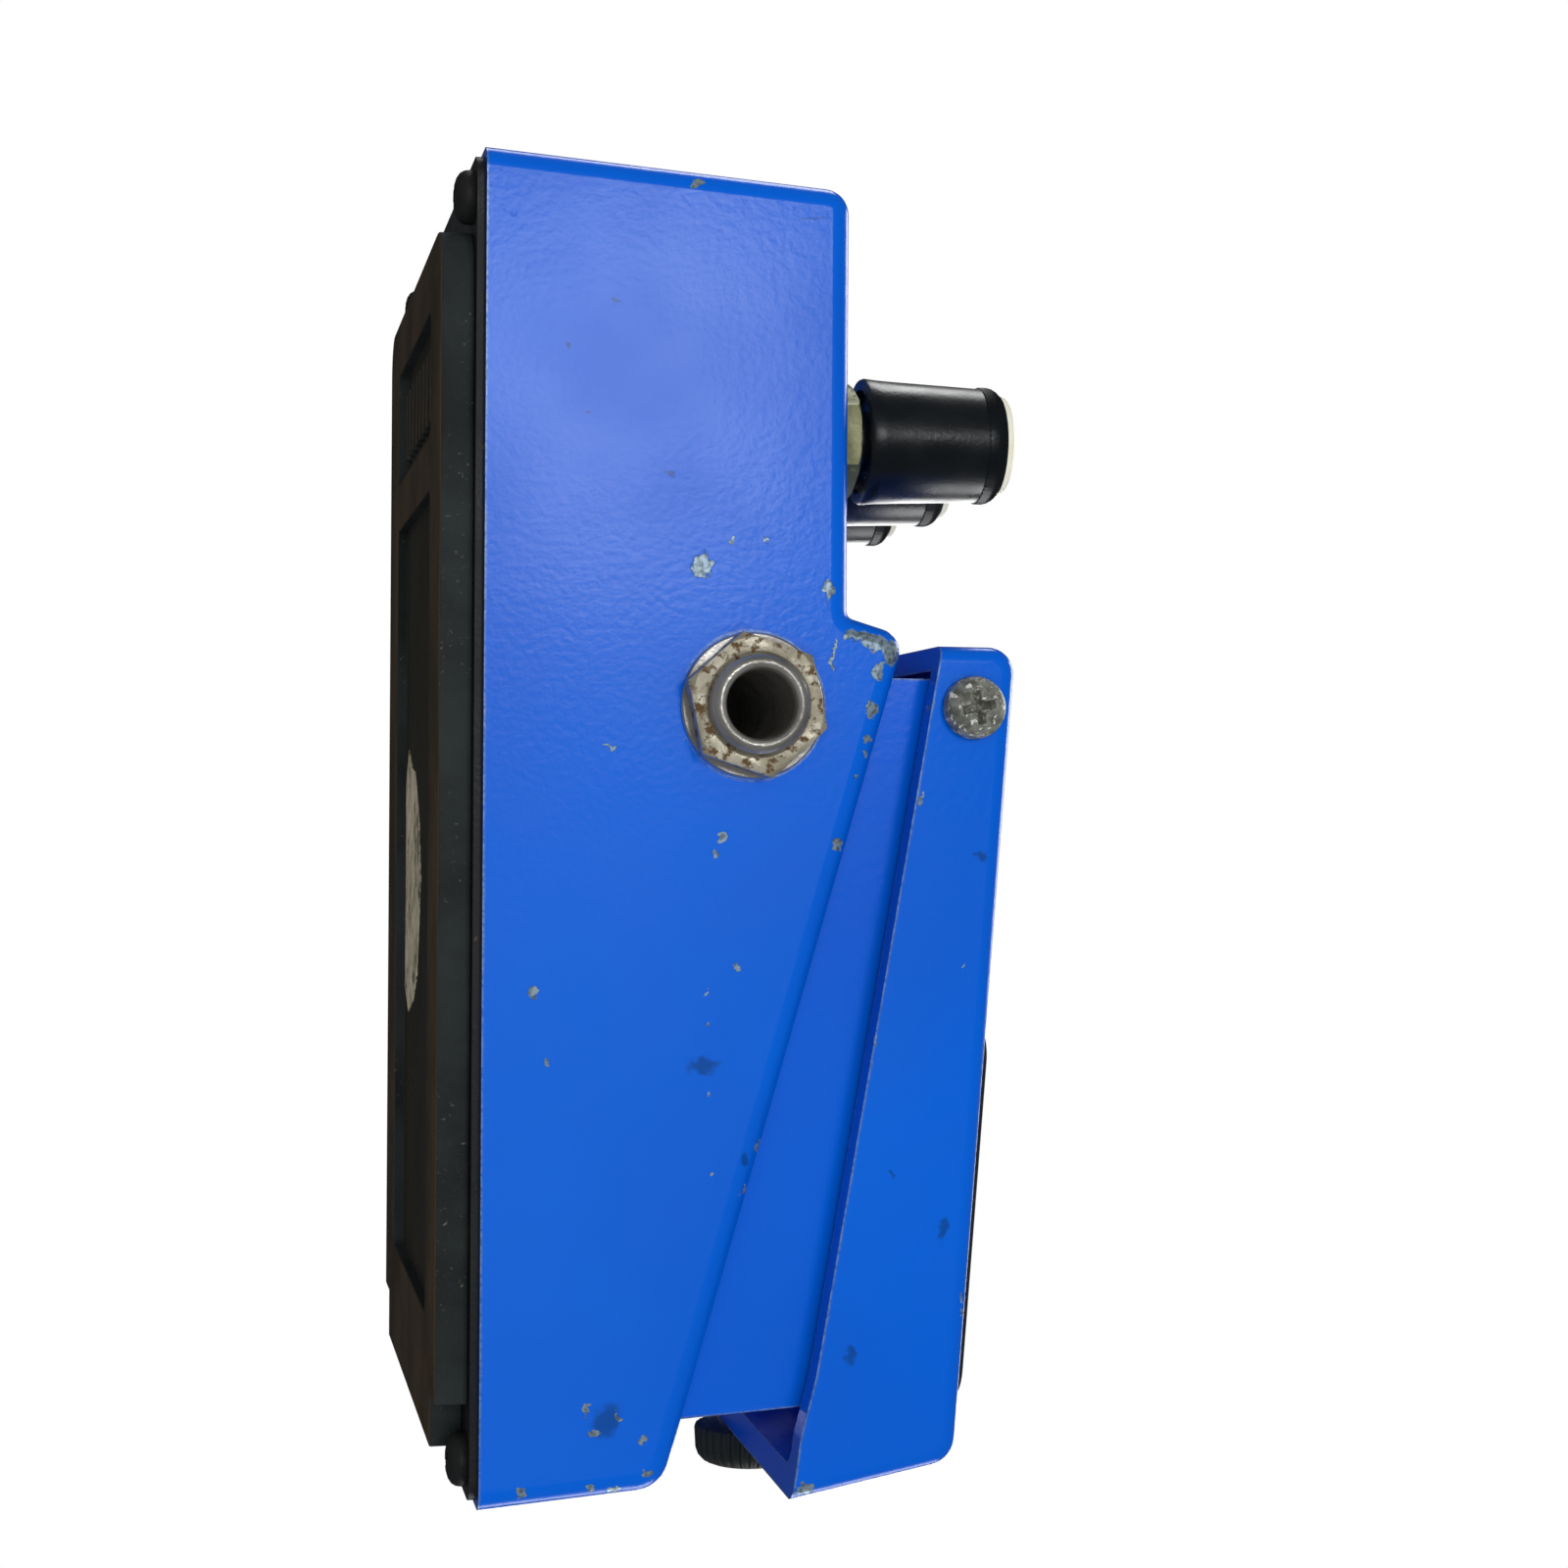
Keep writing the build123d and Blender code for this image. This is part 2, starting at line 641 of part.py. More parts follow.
with BuildPart() as board_screws:
    with BuildSketch(Plane.XY.offset(board_z)):
        with Locations(*board_posts):
            Circle(2.3)
    extrude(amount=-1.4)
    with BuildSketch(Plane.XY.offset(board_z)):
        with Locations(*board_posts):
            Circle(1.2)
    extrude(amount=board_thickness + 3.8)
save(board_screws.part, "board_screws")

chip_places = [(-14, -30, 10, 6.4), (4, -30, 10, 6.4), (-14, -12, 19, 6.4)]  # x, y, length, width
with BuildPart() as circuit_chips:
    for x, y, length, width in chip_places:
        with BuildSketch(Plane.XY.offset(board_top)):
            with Locations((x, y)):
                Rectangle(length, width)
        extrude(amount=3.4)
save(circuit_chips.part, "circuit_chips")

with BuildPart() as capacitors:
    with BuildSketch(Plane.XY.offset(board_top)):
        with Locations((8, stop_y + 16.0)):  # under the battery, clear of the well
            with GridLocations(9.0, 11.0, 2, 2):
                Circle(3.1)
    extrude(amount=11.0)
save(capacitors.part, "capacitors")

# ---------------------------------------------------------------- controls
with BuildPart() as control_board:
    with BuildSketch(Plane.XY.offset(control_z)):
        with Locations((0, (knob_y + light_y) / 2)):
            RectangleRounded(2 * knob_spacing + 18.0, light_y - knob_y + 13.0, 1.0)
    extrude(amount=board_thickness)
save(control_board.part, "control_board")

with BuildPart() as board_link:
    with BuildSketch(Plane.XY.offset(board_top)):
        with Locations((-6.0, board_rear_y - 1.6)):
            Rectangle(16.0, 2.5)
    extrude(amount=control_z - board_top)
save(board_link.part, "board_link")

pot_floor_z, pot_ceiling_z = 27.3, panel_height - wall - 0.2
pot_bush_z = panel_height + 3.3
nut_foot_z = panel_height + 0.5
knob_foot_z = panel_height + 3.5
shaft_foot_z = pot_floor_z + 2.7
shaft_top_z = knob_height - 3.0
ring_z = knob_height - 2.0
cap_floor_z = knob_height - 0.8
cap_top_z = knob_height + 0.9
for name, place in (("left", -1), ("middle", 0), ("right", 1)):
    spot = (place * knob_spacing, knob_y)
    with BuildPart() as pot:
        with BuildSketch(Plane.XY.offset(pot_floor_z)):
            with Locations(spot):
                Circle(8.2)
        extrude(amount=pot_ceiling_z - pot_floor_z)
        with BuildSketch(Plane.XY.offset(pot_ceiling_z)):
            with Locations(spot):
                Circle(pot_bush_radius)
        extrude(amount=pot_bush_z - pot_ceiling_z)
        with BuildSketch(Plane.XY.offset(control_top)):
            with Locations((spot[0], knob_y - 4.0)):
                with GridLocations(5.0, 1.0, 3, 1):
                    Rectangle(1.0, 0.6)
        extrude(amount=pot_floor_z - control_top)
        with BuildSketch(Plane.XY.offset(pot_bush_z)):
            with Locations(spot):
                Circle(shaft_radius + running_gap)
        extrude(amount=-(pot_bush_z - shaft_foot_z + side_gap), mode=Mode.SUBTRACT)
    save(pot.part, f"{name}_pot")

    with BuildPart() as shaft:
        with BuildSketch(Plane.XY.offset(shaft_foot_z)):
            with Locations(spot):
                Circle(shaft_radius)
        extrude(amount=shaft_top_z - shaft_foot_z)
    save(shaft.part, f"{name}_shaft")

    with BuildPart() as knob:
        with BuildSketch(Plane.XY.offset(knob_foot_z)):
            with Locations(spot):
                Circle(knob_radius)
        extrude(amount=ring_z - knob_foot_z, taper=degrees(atan2(0.55, ring_z - knob_foot_z)))
        with BuildSketch(Plane.XY.offset(ring_z)):
            with Locations(spot):
                Circle(knob_radius - 0.4)
        extrude(amount=knob_height - ring_z)
        fillet(knob.edges().filter_by(GeomType.CIRCLE).sort_by(Axis.Z)[-1], 0.3)
        with BuildSketch(Plane.XY.offset(knob_foot_z)):
            with Locations(spot):
                Circle(shaft_radius)
        extrude(amount=shaft_top_z - knob_foot_z, mode=Mode.SUBTRACT)
        with BuildSketch(Plane.XY.offset(cap_floor_z)):
            with Locations(spot):
                Circle(knob_radius - 1.2)
        extrude(amount=2.0, mode=Mode.SUBTRACT)
    save(knob.part, f"{name}_knob")

    with BuildPart() as cap:
        with BuildSketch(Plane.XY.offset(cap_floor_z)):
            with Locations(spot):
                Circle(knob_radius - 1.2)
        extrude(amount=cap_top_z - cap_floor_z)
        fillet(cap.edges().filter_by(GeomType.CIRCLE).sort_by(Axis.Z)[-1], 0.4)
    save(cap.part, f"{name}_knob_cap")

knob_spots = [(place * knob_spacing, knob_y) for place in (-1, 0, 1)]
with BuildPart() as pot_washers:
    with BuildSketch(Plane.XY.offset(panel_height)):
        with Locations(*knob_spots):
            Circle(6.0)
            Circle(pot_bush_radius + 0.1, mode=Mode.SUBTRACT)
    extrude(amount=nut_foot_z - panel_height)
save(pot_washers.part, "pot_washers")

with BuildPart() as pot_nuts:
    with BuildSketch(Plane.XY.offset(nut_foot_z)):
        with Locations(*knob_spots):
            RegularPolygon(pot_nut_flats / 2, 6, major_radius=False)
            Circle(pot_bush_radius, mode=Mode.SUBTRACT)
    extrude(amount=2.2)
save(pot_nuts.part, "pot_nuts")

# ---------------------------------------------------------------- indicator light
with BuildPart() as light_bezel:
    with BuildSketch(Plane.XY.offset(panel_height - wall)):
        with Locations((0, light_y)):
            Circle(2.5)
    extrude(amount=wall)
    with BuildSketch(Plane.XY.offset(panel_height)):
        with Locations((0, light_y)):
            Circle(3.1)
    extrude(amount=1.0)
    fillet(light_bezel.edges().filter_by(GeomType.CIRCLE).sort_by(Axis.Z)[-1], 0.5)
    with BuildSketch(Plane.XY.offset(panel_height + 1.0)):
        with Locations((0, light_y)):
            Circle(1.5)
    extrude(amount=-wall - 1.0, mode=Mode.SUBTRACT)
save(light_bezel.part, "light_bezel")

with BuildPart() as indicator_light:
    with BuildSketch(Plane.XY.offset(panel_height - wall)):
        with Locations((0, light_y)):
            Circle(1.5)
    extrude(amount=wall + 1.8)
    fillet(indicator_light.edges().filter_by(GeomType.CIRCLE).sort_by(Axis.Z)[-1], 1.3)
    with BuildSketch(Plane.XY.offset(control_top)):
        with Locations((0, light_y)):
            with GridLocations(1.6, 1.0, 2, 1):
                Circle(0.3)
    extrude(amount=panel_height - wall - control_top)
save(indicator_light.part, "indicator_light")

# ---------------------------------------------------------------- jacks in the two sides
jack_face_x = side_x(jack_height) - wall - 0.5
jack_end_x = body_width / 2 + 4.0
jack_depth = 27.0
nut_foot_x = jack_pad_x + 0.6
socket_end_x = jack_end_x - jack_depth
contact_z = jack_height + jack_bore_radius
contact_path = [
    (socket_end_x, contact_z + 1.0),
    (socket_end_x + 7.0, contact_z + 1.0),
    (socket_end_x + 8.6, contact_z + 0.1),
    (socket_end_x + 10.0, contact_z + 1.2),
    (socket_end_x + 10.0, contact_z + 1.6),
    (socket_end_x + 8.6, contact_z + 0.5),
    (socket_end_x + 7.0, contact_z + 1.4),
    (socket_end_x, contact_z + 1.4),
]
for name, side in (("output", -1), ("input", 1)):
    with BuildPart() as jack:
        with BuildSketch(Plane.YZ.offset(side * jack_face_x)):
            with Locations((jack_y, jack_height)):
                Rectangle(15.8, 12.0)
        extrude(amount=-side * (jack_face_x - socket_end_x + 2.0))
        with BuildSketch(Plane.YZ.offset(side * jack_face_x)):
            with Locations((jack_y, jack_height)):
                Circle(jack_bush_radius)
        extrude(amount=side * (jack_end_x - jack_face_x))
        chamfer(jack.edges().filter_by(GeomType.CIRCLE).sort_by(Axis.X)[-1 if side > 0 else 0], 0.4)
        with BuildSketch(Plane.YZ.offset(side * jack_end_x)):
            with Locations((jack_y, jack_height)):
                Circle(jack_bore_radius)
        extrude(amount=-side * jack_depth, mode=Mode.SUBTRACT)
        with BuildSketch(Plane.XY.offset(jack_height + jack_bore_radius - 0.6)):
            with Locations((side * (socket_end_x + 6.0), jack_y)):
                Rectangle(12.0, 4.0)
        extrude(amount=6.0, mode=Mode.SUBTRACT)
    save(jack.part, f"{name}_jack")

    with BuildPart() as contact:
        with BuildSketch(Plane.XZ.offset(-jack_y - 1.6)):
            with BuildLine():
                Polyline(*[(side * x, z) for x, z in contact_path], close=True)
            make_face()
        extrude(amount=3.2)
    save(contact.part, f"{name}_jack_contact")

    with BuildPart() as washer:
        with BuildSketch(Plane.YZ.offset(side * jack_pad_x)):
            with Locations((jack_y, jack_height)):
                Circle(washer_radius)
                Circle(jack_hole_radius, mode=Mode.SUBTRACT)
        extrude(amount=side * (nut_foot_x - jack_pad_x))
    save(washer.part, f"{name}_jack_washer")

    with BuildPart() as nut:
        with BuildSketch(Plane.YZ.offset(side * nut_foot_x)):
            with Locations((jack_y, jack_height)):
                RegularPolygon(jack_nut_flats / 2, 6, major_radius=False)
                Circle(jack_bush_radius, mode=Mode.SUBTRACT)
        extrude(amount=side * 2.3)
    save(nut.part, f"{name}_jack_nut")

jack_lead_places = [(side * (socket_end_x + 4.0 + step), jack_y) for side in (-1, 1) for step in (0, 3.0)]
with BuildPart() as jack_leads:
    with BuildSketch(Plane.XY.offset(board_top)):
        with Locations(*jack_lead_places):
            Circle(lead_radius)
    extrude(amount=jack_height - 6.0 - board_top)
save(jack_leads.part, "jack_leads")

# ---------------------------------------------------------------- power socket in the rear face
power_face_y = rear_y - wall - 1.4
power_front_y = power_face_y - 12.0
power_end_y = power_pad_y + 1.6
power_bore_radius = 3.1
power_bore_depth = 11.0
with BuildPart() as power_socket:
    with BuildSketch(Plane.XZ.offset(-power_face_y)):
        with Locations((0, power_z)):
            Rectangle(14.0, 11.0)
    extrude(amount=power_face_y - power_front_y)
    with BuildSketch(Plane.XZ.offset(-power_face_y)):
        with Locations((0, power_z)):
            Circle(power_bush_radius)
    extrude(amount=-(power_end_y - power_face_y))
    with BuildSketch(Plane.XZ.offset(-power_end_y)):
        with Locations((0, power_z)):
            Circle(power_bore_radius)
    extrude(amount=power_bore_depth, mode=Mode.SUBTRACT)
save(power_socket.part, "power_socket")

with BuildPart() as power_pin:
    with BuildSketch(Plane.XZ.offset(-(power_end_y - power_bore_depth))):
        with Locations((0, power_z)):
            Circle(1.0)
    extrude(amount=-(power_bore_depth - 1.0))
    fillet(power_pin.edges().filter_by(GeomType.CIRCLE).sort_by(Axis.Y)[-1], 0.4)
save(power_pin.part, "power_pin")

with BuildPart() as power_nut:
    with BuildSketch(Plane.XZ.offset(-power_pad_y)):
        with Locations((0, power_z)):
            Circle(power_nut_radius)
            Circle(power_bush_radius, mode=Mode.SUBTRACT)
    extrude(amount=-(power_end_y - power_pad_y))
save(power_nut.part, "power_nut")

lead_level_z = power_z - 2.0
with BuildPart() as power_leads:
    for x in (5.0, 6.6):
        with BuildLine() as lead_line:
            FilletPolyline(
                (x, power_front_y, lead_level_z),
                (x, board_rear_y - 1.5, lead_level_z),
                (x, board_rear_y - 1.5, board_top),
                radius=0.45 * (lead_level_z - board_top),
            )
        with BuildSketch(Plane(origin=(x, power_front_y, lead_level_z), z_dir=(0, -1, 0))):
            Circle(lead_radius)
        sweep(path=lead_line.line)
save(power_leads.part, "power_leads")
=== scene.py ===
import bpy
import math
from mathutils import Matrix, Vector


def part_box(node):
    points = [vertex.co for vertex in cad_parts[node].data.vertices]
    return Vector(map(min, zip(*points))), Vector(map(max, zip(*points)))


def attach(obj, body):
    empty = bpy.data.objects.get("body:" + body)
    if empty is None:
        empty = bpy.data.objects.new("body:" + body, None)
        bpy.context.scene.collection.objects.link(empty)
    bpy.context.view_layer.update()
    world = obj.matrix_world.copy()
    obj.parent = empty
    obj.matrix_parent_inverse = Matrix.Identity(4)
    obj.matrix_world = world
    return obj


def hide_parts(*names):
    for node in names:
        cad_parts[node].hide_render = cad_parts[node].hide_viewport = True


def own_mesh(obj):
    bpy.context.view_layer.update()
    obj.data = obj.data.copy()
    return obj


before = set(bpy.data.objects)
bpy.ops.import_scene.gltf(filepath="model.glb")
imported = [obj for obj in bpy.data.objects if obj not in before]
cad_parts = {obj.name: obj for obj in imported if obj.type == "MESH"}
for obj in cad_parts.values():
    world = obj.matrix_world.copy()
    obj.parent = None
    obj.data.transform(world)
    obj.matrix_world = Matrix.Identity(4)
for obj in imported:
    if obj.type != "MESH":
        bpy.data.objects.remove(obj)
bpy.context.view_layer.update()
mm = 0.001
leftSide = -1
rightSide = 1
print("frame loaded:", len(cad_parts), "nodes")


# selecting and placing

def deselectAll():
    if bpy.context.object and bpy.context.object.mode != "OBJECT":
        bpy.ops.object.mode_set(mode="OBJECT")
    bpy.ops.object.select_all(action="DESELECT")


def makeActive(piece):
    deselectAll()
    piece.select_set(True)
    bpy.context.view_layer.objects.active = piece


def placeInMesh(piece):
    makeActive(piece)
    bpy.ops.object.transform_apply(location=True, rotation=True, scale=True)


def editWhere(piece, byPoint, test):
    # edit mode, with the points or faces that pass the test selected
    makeActive(piece)
    bpy.context.tool_settings.mesh_select_mode = (byPoint, False, not byPoint)
    bpy.ops.object.mode_set(mode="EDIT")
    bpy.ops.mesh.select_all(action="DESELECT")
    bpy.ops.object.mode_set(mode="OBJECT")
    for part in piece.data.vertices if byPoint else piece.data.polygons:
        part.select = test(part)
    bpy.ops.object.mode_set(mode="EDIT")


def scaleSelected(value, centre):
    bpy.ops.transform.resize(value=value, center_override=centre)
    bpy.ops.object.mode_set(mode="OBJECT")


def scalePoints(piece, test, value, centre):
    editWhere(piece, True, lambda point: test(point.co))
    scaleSelected(value, centre)


def scaleFaces(piece, test, value, centre=(0, 0, 0)):
    editWhere(piece, False, test)
    scaleSelected(value, centre)


def facesUp(face):
    return face.normal.z > 0.5


def facesDown(face):
    return face.normal.z < -0.5


def closeUp(piece, angle=35):
    # merged, outward normals, smooth except at real corners
    makeActive(piece)
    bpy.ops.object.mode_set(mode="EDIT")
    bpy.ops.mesh.select_all(action="SELECT")
    bpy.ops.mesh.remove_doubles(threshold=0.000002)
    bpy.ops.mesh.fill_holes(sides=0)
    bpy.ops.mesh.normals_make_consistent(inside=False)
    bpy.ops.object.mode_set(mode="OBJECT")
    bpy.ops.object.shade_smooth_by_angle(angle=math.radians(angle))


def standAt(piece, place, direction):
    # its own Z axis turned to the direction
    piece.rotation_euler = Vector((0, 0, 1)).rotation_difference(Vector(direction)).to_euler()
    piece.location = place
    placeInMesh(piece)


def turned(name, profile, sides, place, direction, ring=False):
    # a piece off the lathe: a circle extruded and scaled along its profile of (radius, height)
    deselectAll()
    radius, height = profile[0]
    fill = "NOTHING" if ring else "NGON"
    bpy.ops.mesh.primitive_circle_add(vertices=sides, radius=radius, fill_type=fill, location=(0, 0, height))
    piece = bpy.context.object
    piece.name = name
    bpy.context.tool_settings.mesh_select_mode = (ring, False, not ring)
    bpy.ops.object.mode_set(mode="EDIT")
    bpy.ops.mesh.select_all(action="SELECT")
    for nextRadius, nextHeight in profile[1:] + (profile[:1] if ring else []):
        bpy.ops.mesh.extrude_region_move(TRANSFORM_OT_translate={"value": (0, 0, nextHeight - height)})
        grow = nextRadius / radius
        bpy.ops.transform.resize(value=(grow, grow, 1), center_override=(0, 0, nextHeight))
        radius, height = nextRadius, nextHeight
    bpy.ops.object.mode_set(mode="OBJECT")
    placeInMesh(piece)
    standAt(piece, place, direction)
    closeUp(piece)
    return piece


def addModifier(piece, kind, **settings):
    makeActive(piece)
    modifier = piece.modifiers.new(kind.title(), kind)
    for key, value in settings.items():
        setattr(modifier, key, value)
    bpy.ops.object.modifier_apply(modifier=modifier.name)


def bevelEdges(piece, width, segments, angle):
    limit = math.radians(angle)
    addModifier(piece, "BEVEL", width=width, segments=segments, limit_method="ANGLE", angle_limit=limit)


def cutWith(piece, tool, operation="DIFFERENCE"):
    addModifier(piece, "BOOLEAN", object=tool, operation=operation, solver="EXACT")
    bpy.data.objects.remove(tool)


def addBlock(name, low, high):
    deselectAll()
    low, high = Vector(low), Vector(high)
    bpy.ops.mesh.primitive_cube_add(size=1, location=(low + high) / 2)
    block = bpy.context.object
    block.name = name
    block.scale = high - low
    placeInMesh(block)
    return block


def copyOf(piece, name, move=(0, 0, 0)):
    twin = piece.copy()
    twin.data = piece.data.copy()
    twin.name = name
    bpy.context.scene.collection.objects.link(twin)
    twin.location = Vector(twin.location) + Vector(move)
    placeInMesh(twin)
    return twin


def copyOfNode(node, name):
    # a CAD node's triangles, merged back into flat faces
    piece = copyOf(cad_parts[node], name)
    piece.parent = None
    for key in list(piece.keys()):
        del piece[key]
    makeActive(piece)
    bpy.ops.mesh.customdata_custom_splitnormals_clear()
    bpy.ops.object.mode_set(mode="EDIT")
    bpy.ops.mesh.select_all(action="SELECT")
    bpy.ops.mesh.remove_doubles(threshold=0.000002)
    bpy.ops.mesh.dissolve_limited(angle_limit=math.radians(1))
    bpy.ops.object.mode_set(mode="OBJECT")
    return piece


def joinAll(pieces, name):
    deselectAll()
    for piece in pieces:
        piece.select_set(True)
    bpy.context.view_layer.objects.active = pieces[0]
    bpy.ops.object.join()
    joined = bpy.context.object
    joined.name = name
    return joined


def fitPiece(piece, body, slotName, material, *nodes):
    piece.data.materials.clear()
    piece.data.materials.append(material)
    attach(piece, body)
    if nodes:
        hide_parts(*nodes)
    return piece


def middleOf(node):
    low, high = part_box(node)
    return (low + high) / 2


# materials

def tint(red, green, blue):
    # screen colour to the linear colour that a shader takes
    levels = [level / 255 for level in (red, green, blue)]
    return tuple(c / 12.92 if c < 0.04045 else ((c + 0.055) / 1.055) ** 2.4 for c in levels) + (1,)


def addNode(tree, kind, inputs=None, **settings):
    node = tree.nodes.new(kind)
    for key, value in settings.items():
        setattr(node, key, value)
    for key, value in (inputs or {}).items():
        if isinstance(value, bpy.types.NodeSocket):
            tree.links.new(value, node.inputs[key])
        else:
            node.inputs[key].default_value = value
    return node


def calc(tree, operation, first, second=0.0, clamp=False):
    inputs = {0: first, 1: second}
    return addNode(tree, "ShaderNodeMath", inputs, operation=operation, use_clamp=clamp).outputs[0]


def remap(tree, value, low, high, toLow=0.0, toHigh=1.0):
    settings = {"Value": value, "From Min": low, "From Max": high, "To Min": toLow, "To Max": toHigh}
    return addNode(tree, "ShaderNodeMapRange", settings, interpolation_type="SMOOTHSTEP").outputs["Result"]


def mixColour(tree, amount, first, second):
    mix = addNode(tree, "ShaderNodeMix", data_type="RGBA")
    for socket, value in ((mix.inputs[0], amount), (mix.inputs[6], first), (mix.inputs[7], second)):
        if isinstance(value, bpy.types.NodeSocket):
            tree.links.new(value, socket)
        else:
            socket.default_value = value
    return mix.outputs[2]


def addNoise(tree, where, scale, detail=2.0, roughness=0.5):
    settings = {"Vector": where, "Scale": scale, "Detail": detail, "Roughness": roughness}
    return addNode(tree, "ShaderNodeTexNoise", settings).outputs["Fac"]


def newMaterial(name):
    material = bpy.data.materials.new(name)
    material.use_nodes = True
    tree = material.node_tree
    tree.nodes.clear()
    shader = addNode(tree, "ShaderNodeBsdfPrincipled")
    output = addNode(tree, "ShaderNodeOutputMaterial")
    tree.links.new(shader.outputs[0], output.inputs[0])
    where = addNode(tree, "ShaderNodeTexCoord").outputs["Object"]
    return material, tree, shader, where


def addBump(tree, shader, height, distance, strength=1.0):
    settings = {"Height": height, "Distance": distance, "Strength": strength}
    bump = addNode(tree, "ShaderNodeBump", settings)
    tree.links.new(bump.outputs[0], shader.inputs["Normal"])


def plainFinish(name, look):
    # one finish with mottled colour, uneven gloss, fine bump and optional specks or stains
    material, tree, shader, where = newMaterial(name)
    cloudy = addNoise(tree, where, look.get("cloudScale", 180), 4)
    colour = mixColour(tree, remap(tree, cloudy, 0.3, 0.7), look["colour"], look["second"])
    rough = remap(tree, cloudy, 0.3, 0.7, *look["rough"])
    height = addNoise(tree, where, look.get("grainScale", 2500), 2)
    if "stain" in look:
        stainNoise = addNoise(tree, where, look["stainScale"], 6, 0.65)
        stain = remap(tree, stainNoise, look["stainFrom"], look["stainFrom"] + 0.08)
        colour = mixColour(tree, stain, colour, look["stain"])
        rough = calc(tree, "ADD", rough, calc(tree, "MULTIPLY", stain, 0.3), clamp=True)
        height = calc(tree, "ADD", height, calc(tree, "MULTIPLY", stain, look.get("stainHeight", 0.5)))
        if look.get("metal"):
            metal = calc(tree, "SUBTRACT", look["metal"], stain, clamp=True)
            tree.links.new(metal, shader.inputs["Metallic"])
    elif look.get("metal"):
        shader.inputs["Metallic"].default_value = look["metal"]
    tree.links.new(colour, shader.inputs["Base Color"])
    tree.links.new(rough, shader.inputs["Roughness"])
    shader.inputs["Specular IOR Level"].default_value = look.get("specular", 0.5)
    addBump(tree, shader, height, look.get("bump", 0.00004))
    return material


wear = {
    "paint": tint(0, 96, 214), "paintDeep": tint(0, 90, 206), "toneScale": 30,
    "bare": tint(150, 171, 186), "bareDark": tint(96, 112, 122), "bareScale": 2200, "bareDepth": 1.2,
    "grime": tint(8, 52, 96), "grimeAmount": 0.6,
    "raggedScale": 1100, "raggedReach": 1.9 * mm,
    "edgeRadius": 0.6 * mm, "edgeGain": 2.2, "patchScale": 140,
    "speckScale": 110, "speckSpread": 38,
    "gloss": (0.19, 0.24), "glossScale": 60, "specular": 0.28, "bareRough": 0.12, "bareMetal": 0.5,
    "peelScale": 1400, "peelDepth": 0.034 * mm,
}

# chips on the left side in mm: back, up, half length, half width, turn in degrees
housingChips = [
    (60, 23.6, 0.5, 0.7, 0), (24.5, 24.2, 1.1, 0.8, 30), (26.8, 27, 0.3, 0.3, 0),
    (26.8, 30.3, 0.25, 0.25, 0), (22.6, 36.4, 1.1, 0.45, 0), (16.3, 36.8, 1.5, 0.17, 8),
    (18.2, 38.9, 0.45, 1.1, 0), (17.7, 40.8, 0.8, 1.2, 10), (16.7, 42.6, 1.1, 0.9, 0),
    (15, 41.3, 1.0, 0.45, 20), (11.4, 40.6, 0.8, 0.55, 0), (8.5, 40.2, 0.4, 0.4, 0),
    (7, 40.1, 0.3, 0.3, 0), (-1.5, 37.4, 0.5, 0.5, 0), (4.9, 39.3, 0.25, 0.2, 0),
    (-0.9, 26.3, 0.5, 0.6, 0), (-2.1, 25.6, 0.35, 0.25, 0), (7.5, 15.6, 0.15, 0.8, 10),
    (-13, 27.8, 0.3, 0.3, 0), (-15.4, 24.9, 0.25, 0.2, 0), (-18.2, 24.9, 0.25, 0.15, 0),
    (-24.8, 25, 0.2, 0.2, 0), (-14.9, 8.8, 0.45, 0.5, 0), (-21.5, 10.1, 0.3, 0.35, 0),
    (-32, 25.4, 0.25, 0.3, 0), (-29.9, 30, 0.7, 0.25, 0), (-33.8, 28.7, 0.3, 0.35, 0),
    (-56.4, 19.1, 0.3, 0.4, 0), (-59.5, 19.5, 0.4, 0.6, 0), (-60.8, 7.8, 0.7, 0.3, 20),
    (-60.6, 14.2, 0.3, 0.5, 0), (-61, 16.5, 0.3, 0.8, 0), (-53.4, 13.8, 0.6, 0.25, 20),
    (-55.6, 14.4, 0.3, 0.7, 0), (-54.2, 16.8, 0.25, 0.6, 40),
]
housingSmudges = [
    (-22, 24.6, 0.7, 1.6, 0), (-31, 28.6, 0.6, 0.3, 0), (57.3, 34.5, 0.15, 1.3, 0),
    (44.5, 11.6, 0.3, 0.35, 0), (48.8, 15.7, 0.3, 0.3, 0), (-54.6, 15.6, 1.8, 1.2, 30),
    (38.2, 13.4, 0.2, 0.25, 0), (33, 21, 0.15, 0.4, 20),
]
treadleChips = [
    (-62.0, 34.6, 0.6, 0.9, 0), (-44.5, 50.0, 0.5, 0.25, 0), (-46.1, 50.0, 0.3, 0.2, 0),
    (-13, 49.9, 0.2, 0.2, 0), (11.3, 46.3, 0.9, 0.2, 20), (-20, 41.4, 0.5, 0.15, 10),
    (3, 45.6, 0.6, 0.15, 10),
]
treadleSmudges = [
    (-49.5, 38.9, 0.9, 0.6, 0), (-37.9, 48, 1.0, 0.5, 10), (-2.5, 51.5, 0.4, 0.5, 0),
    (-32.6, 42.9, 0.4, 0.3, 0),
]


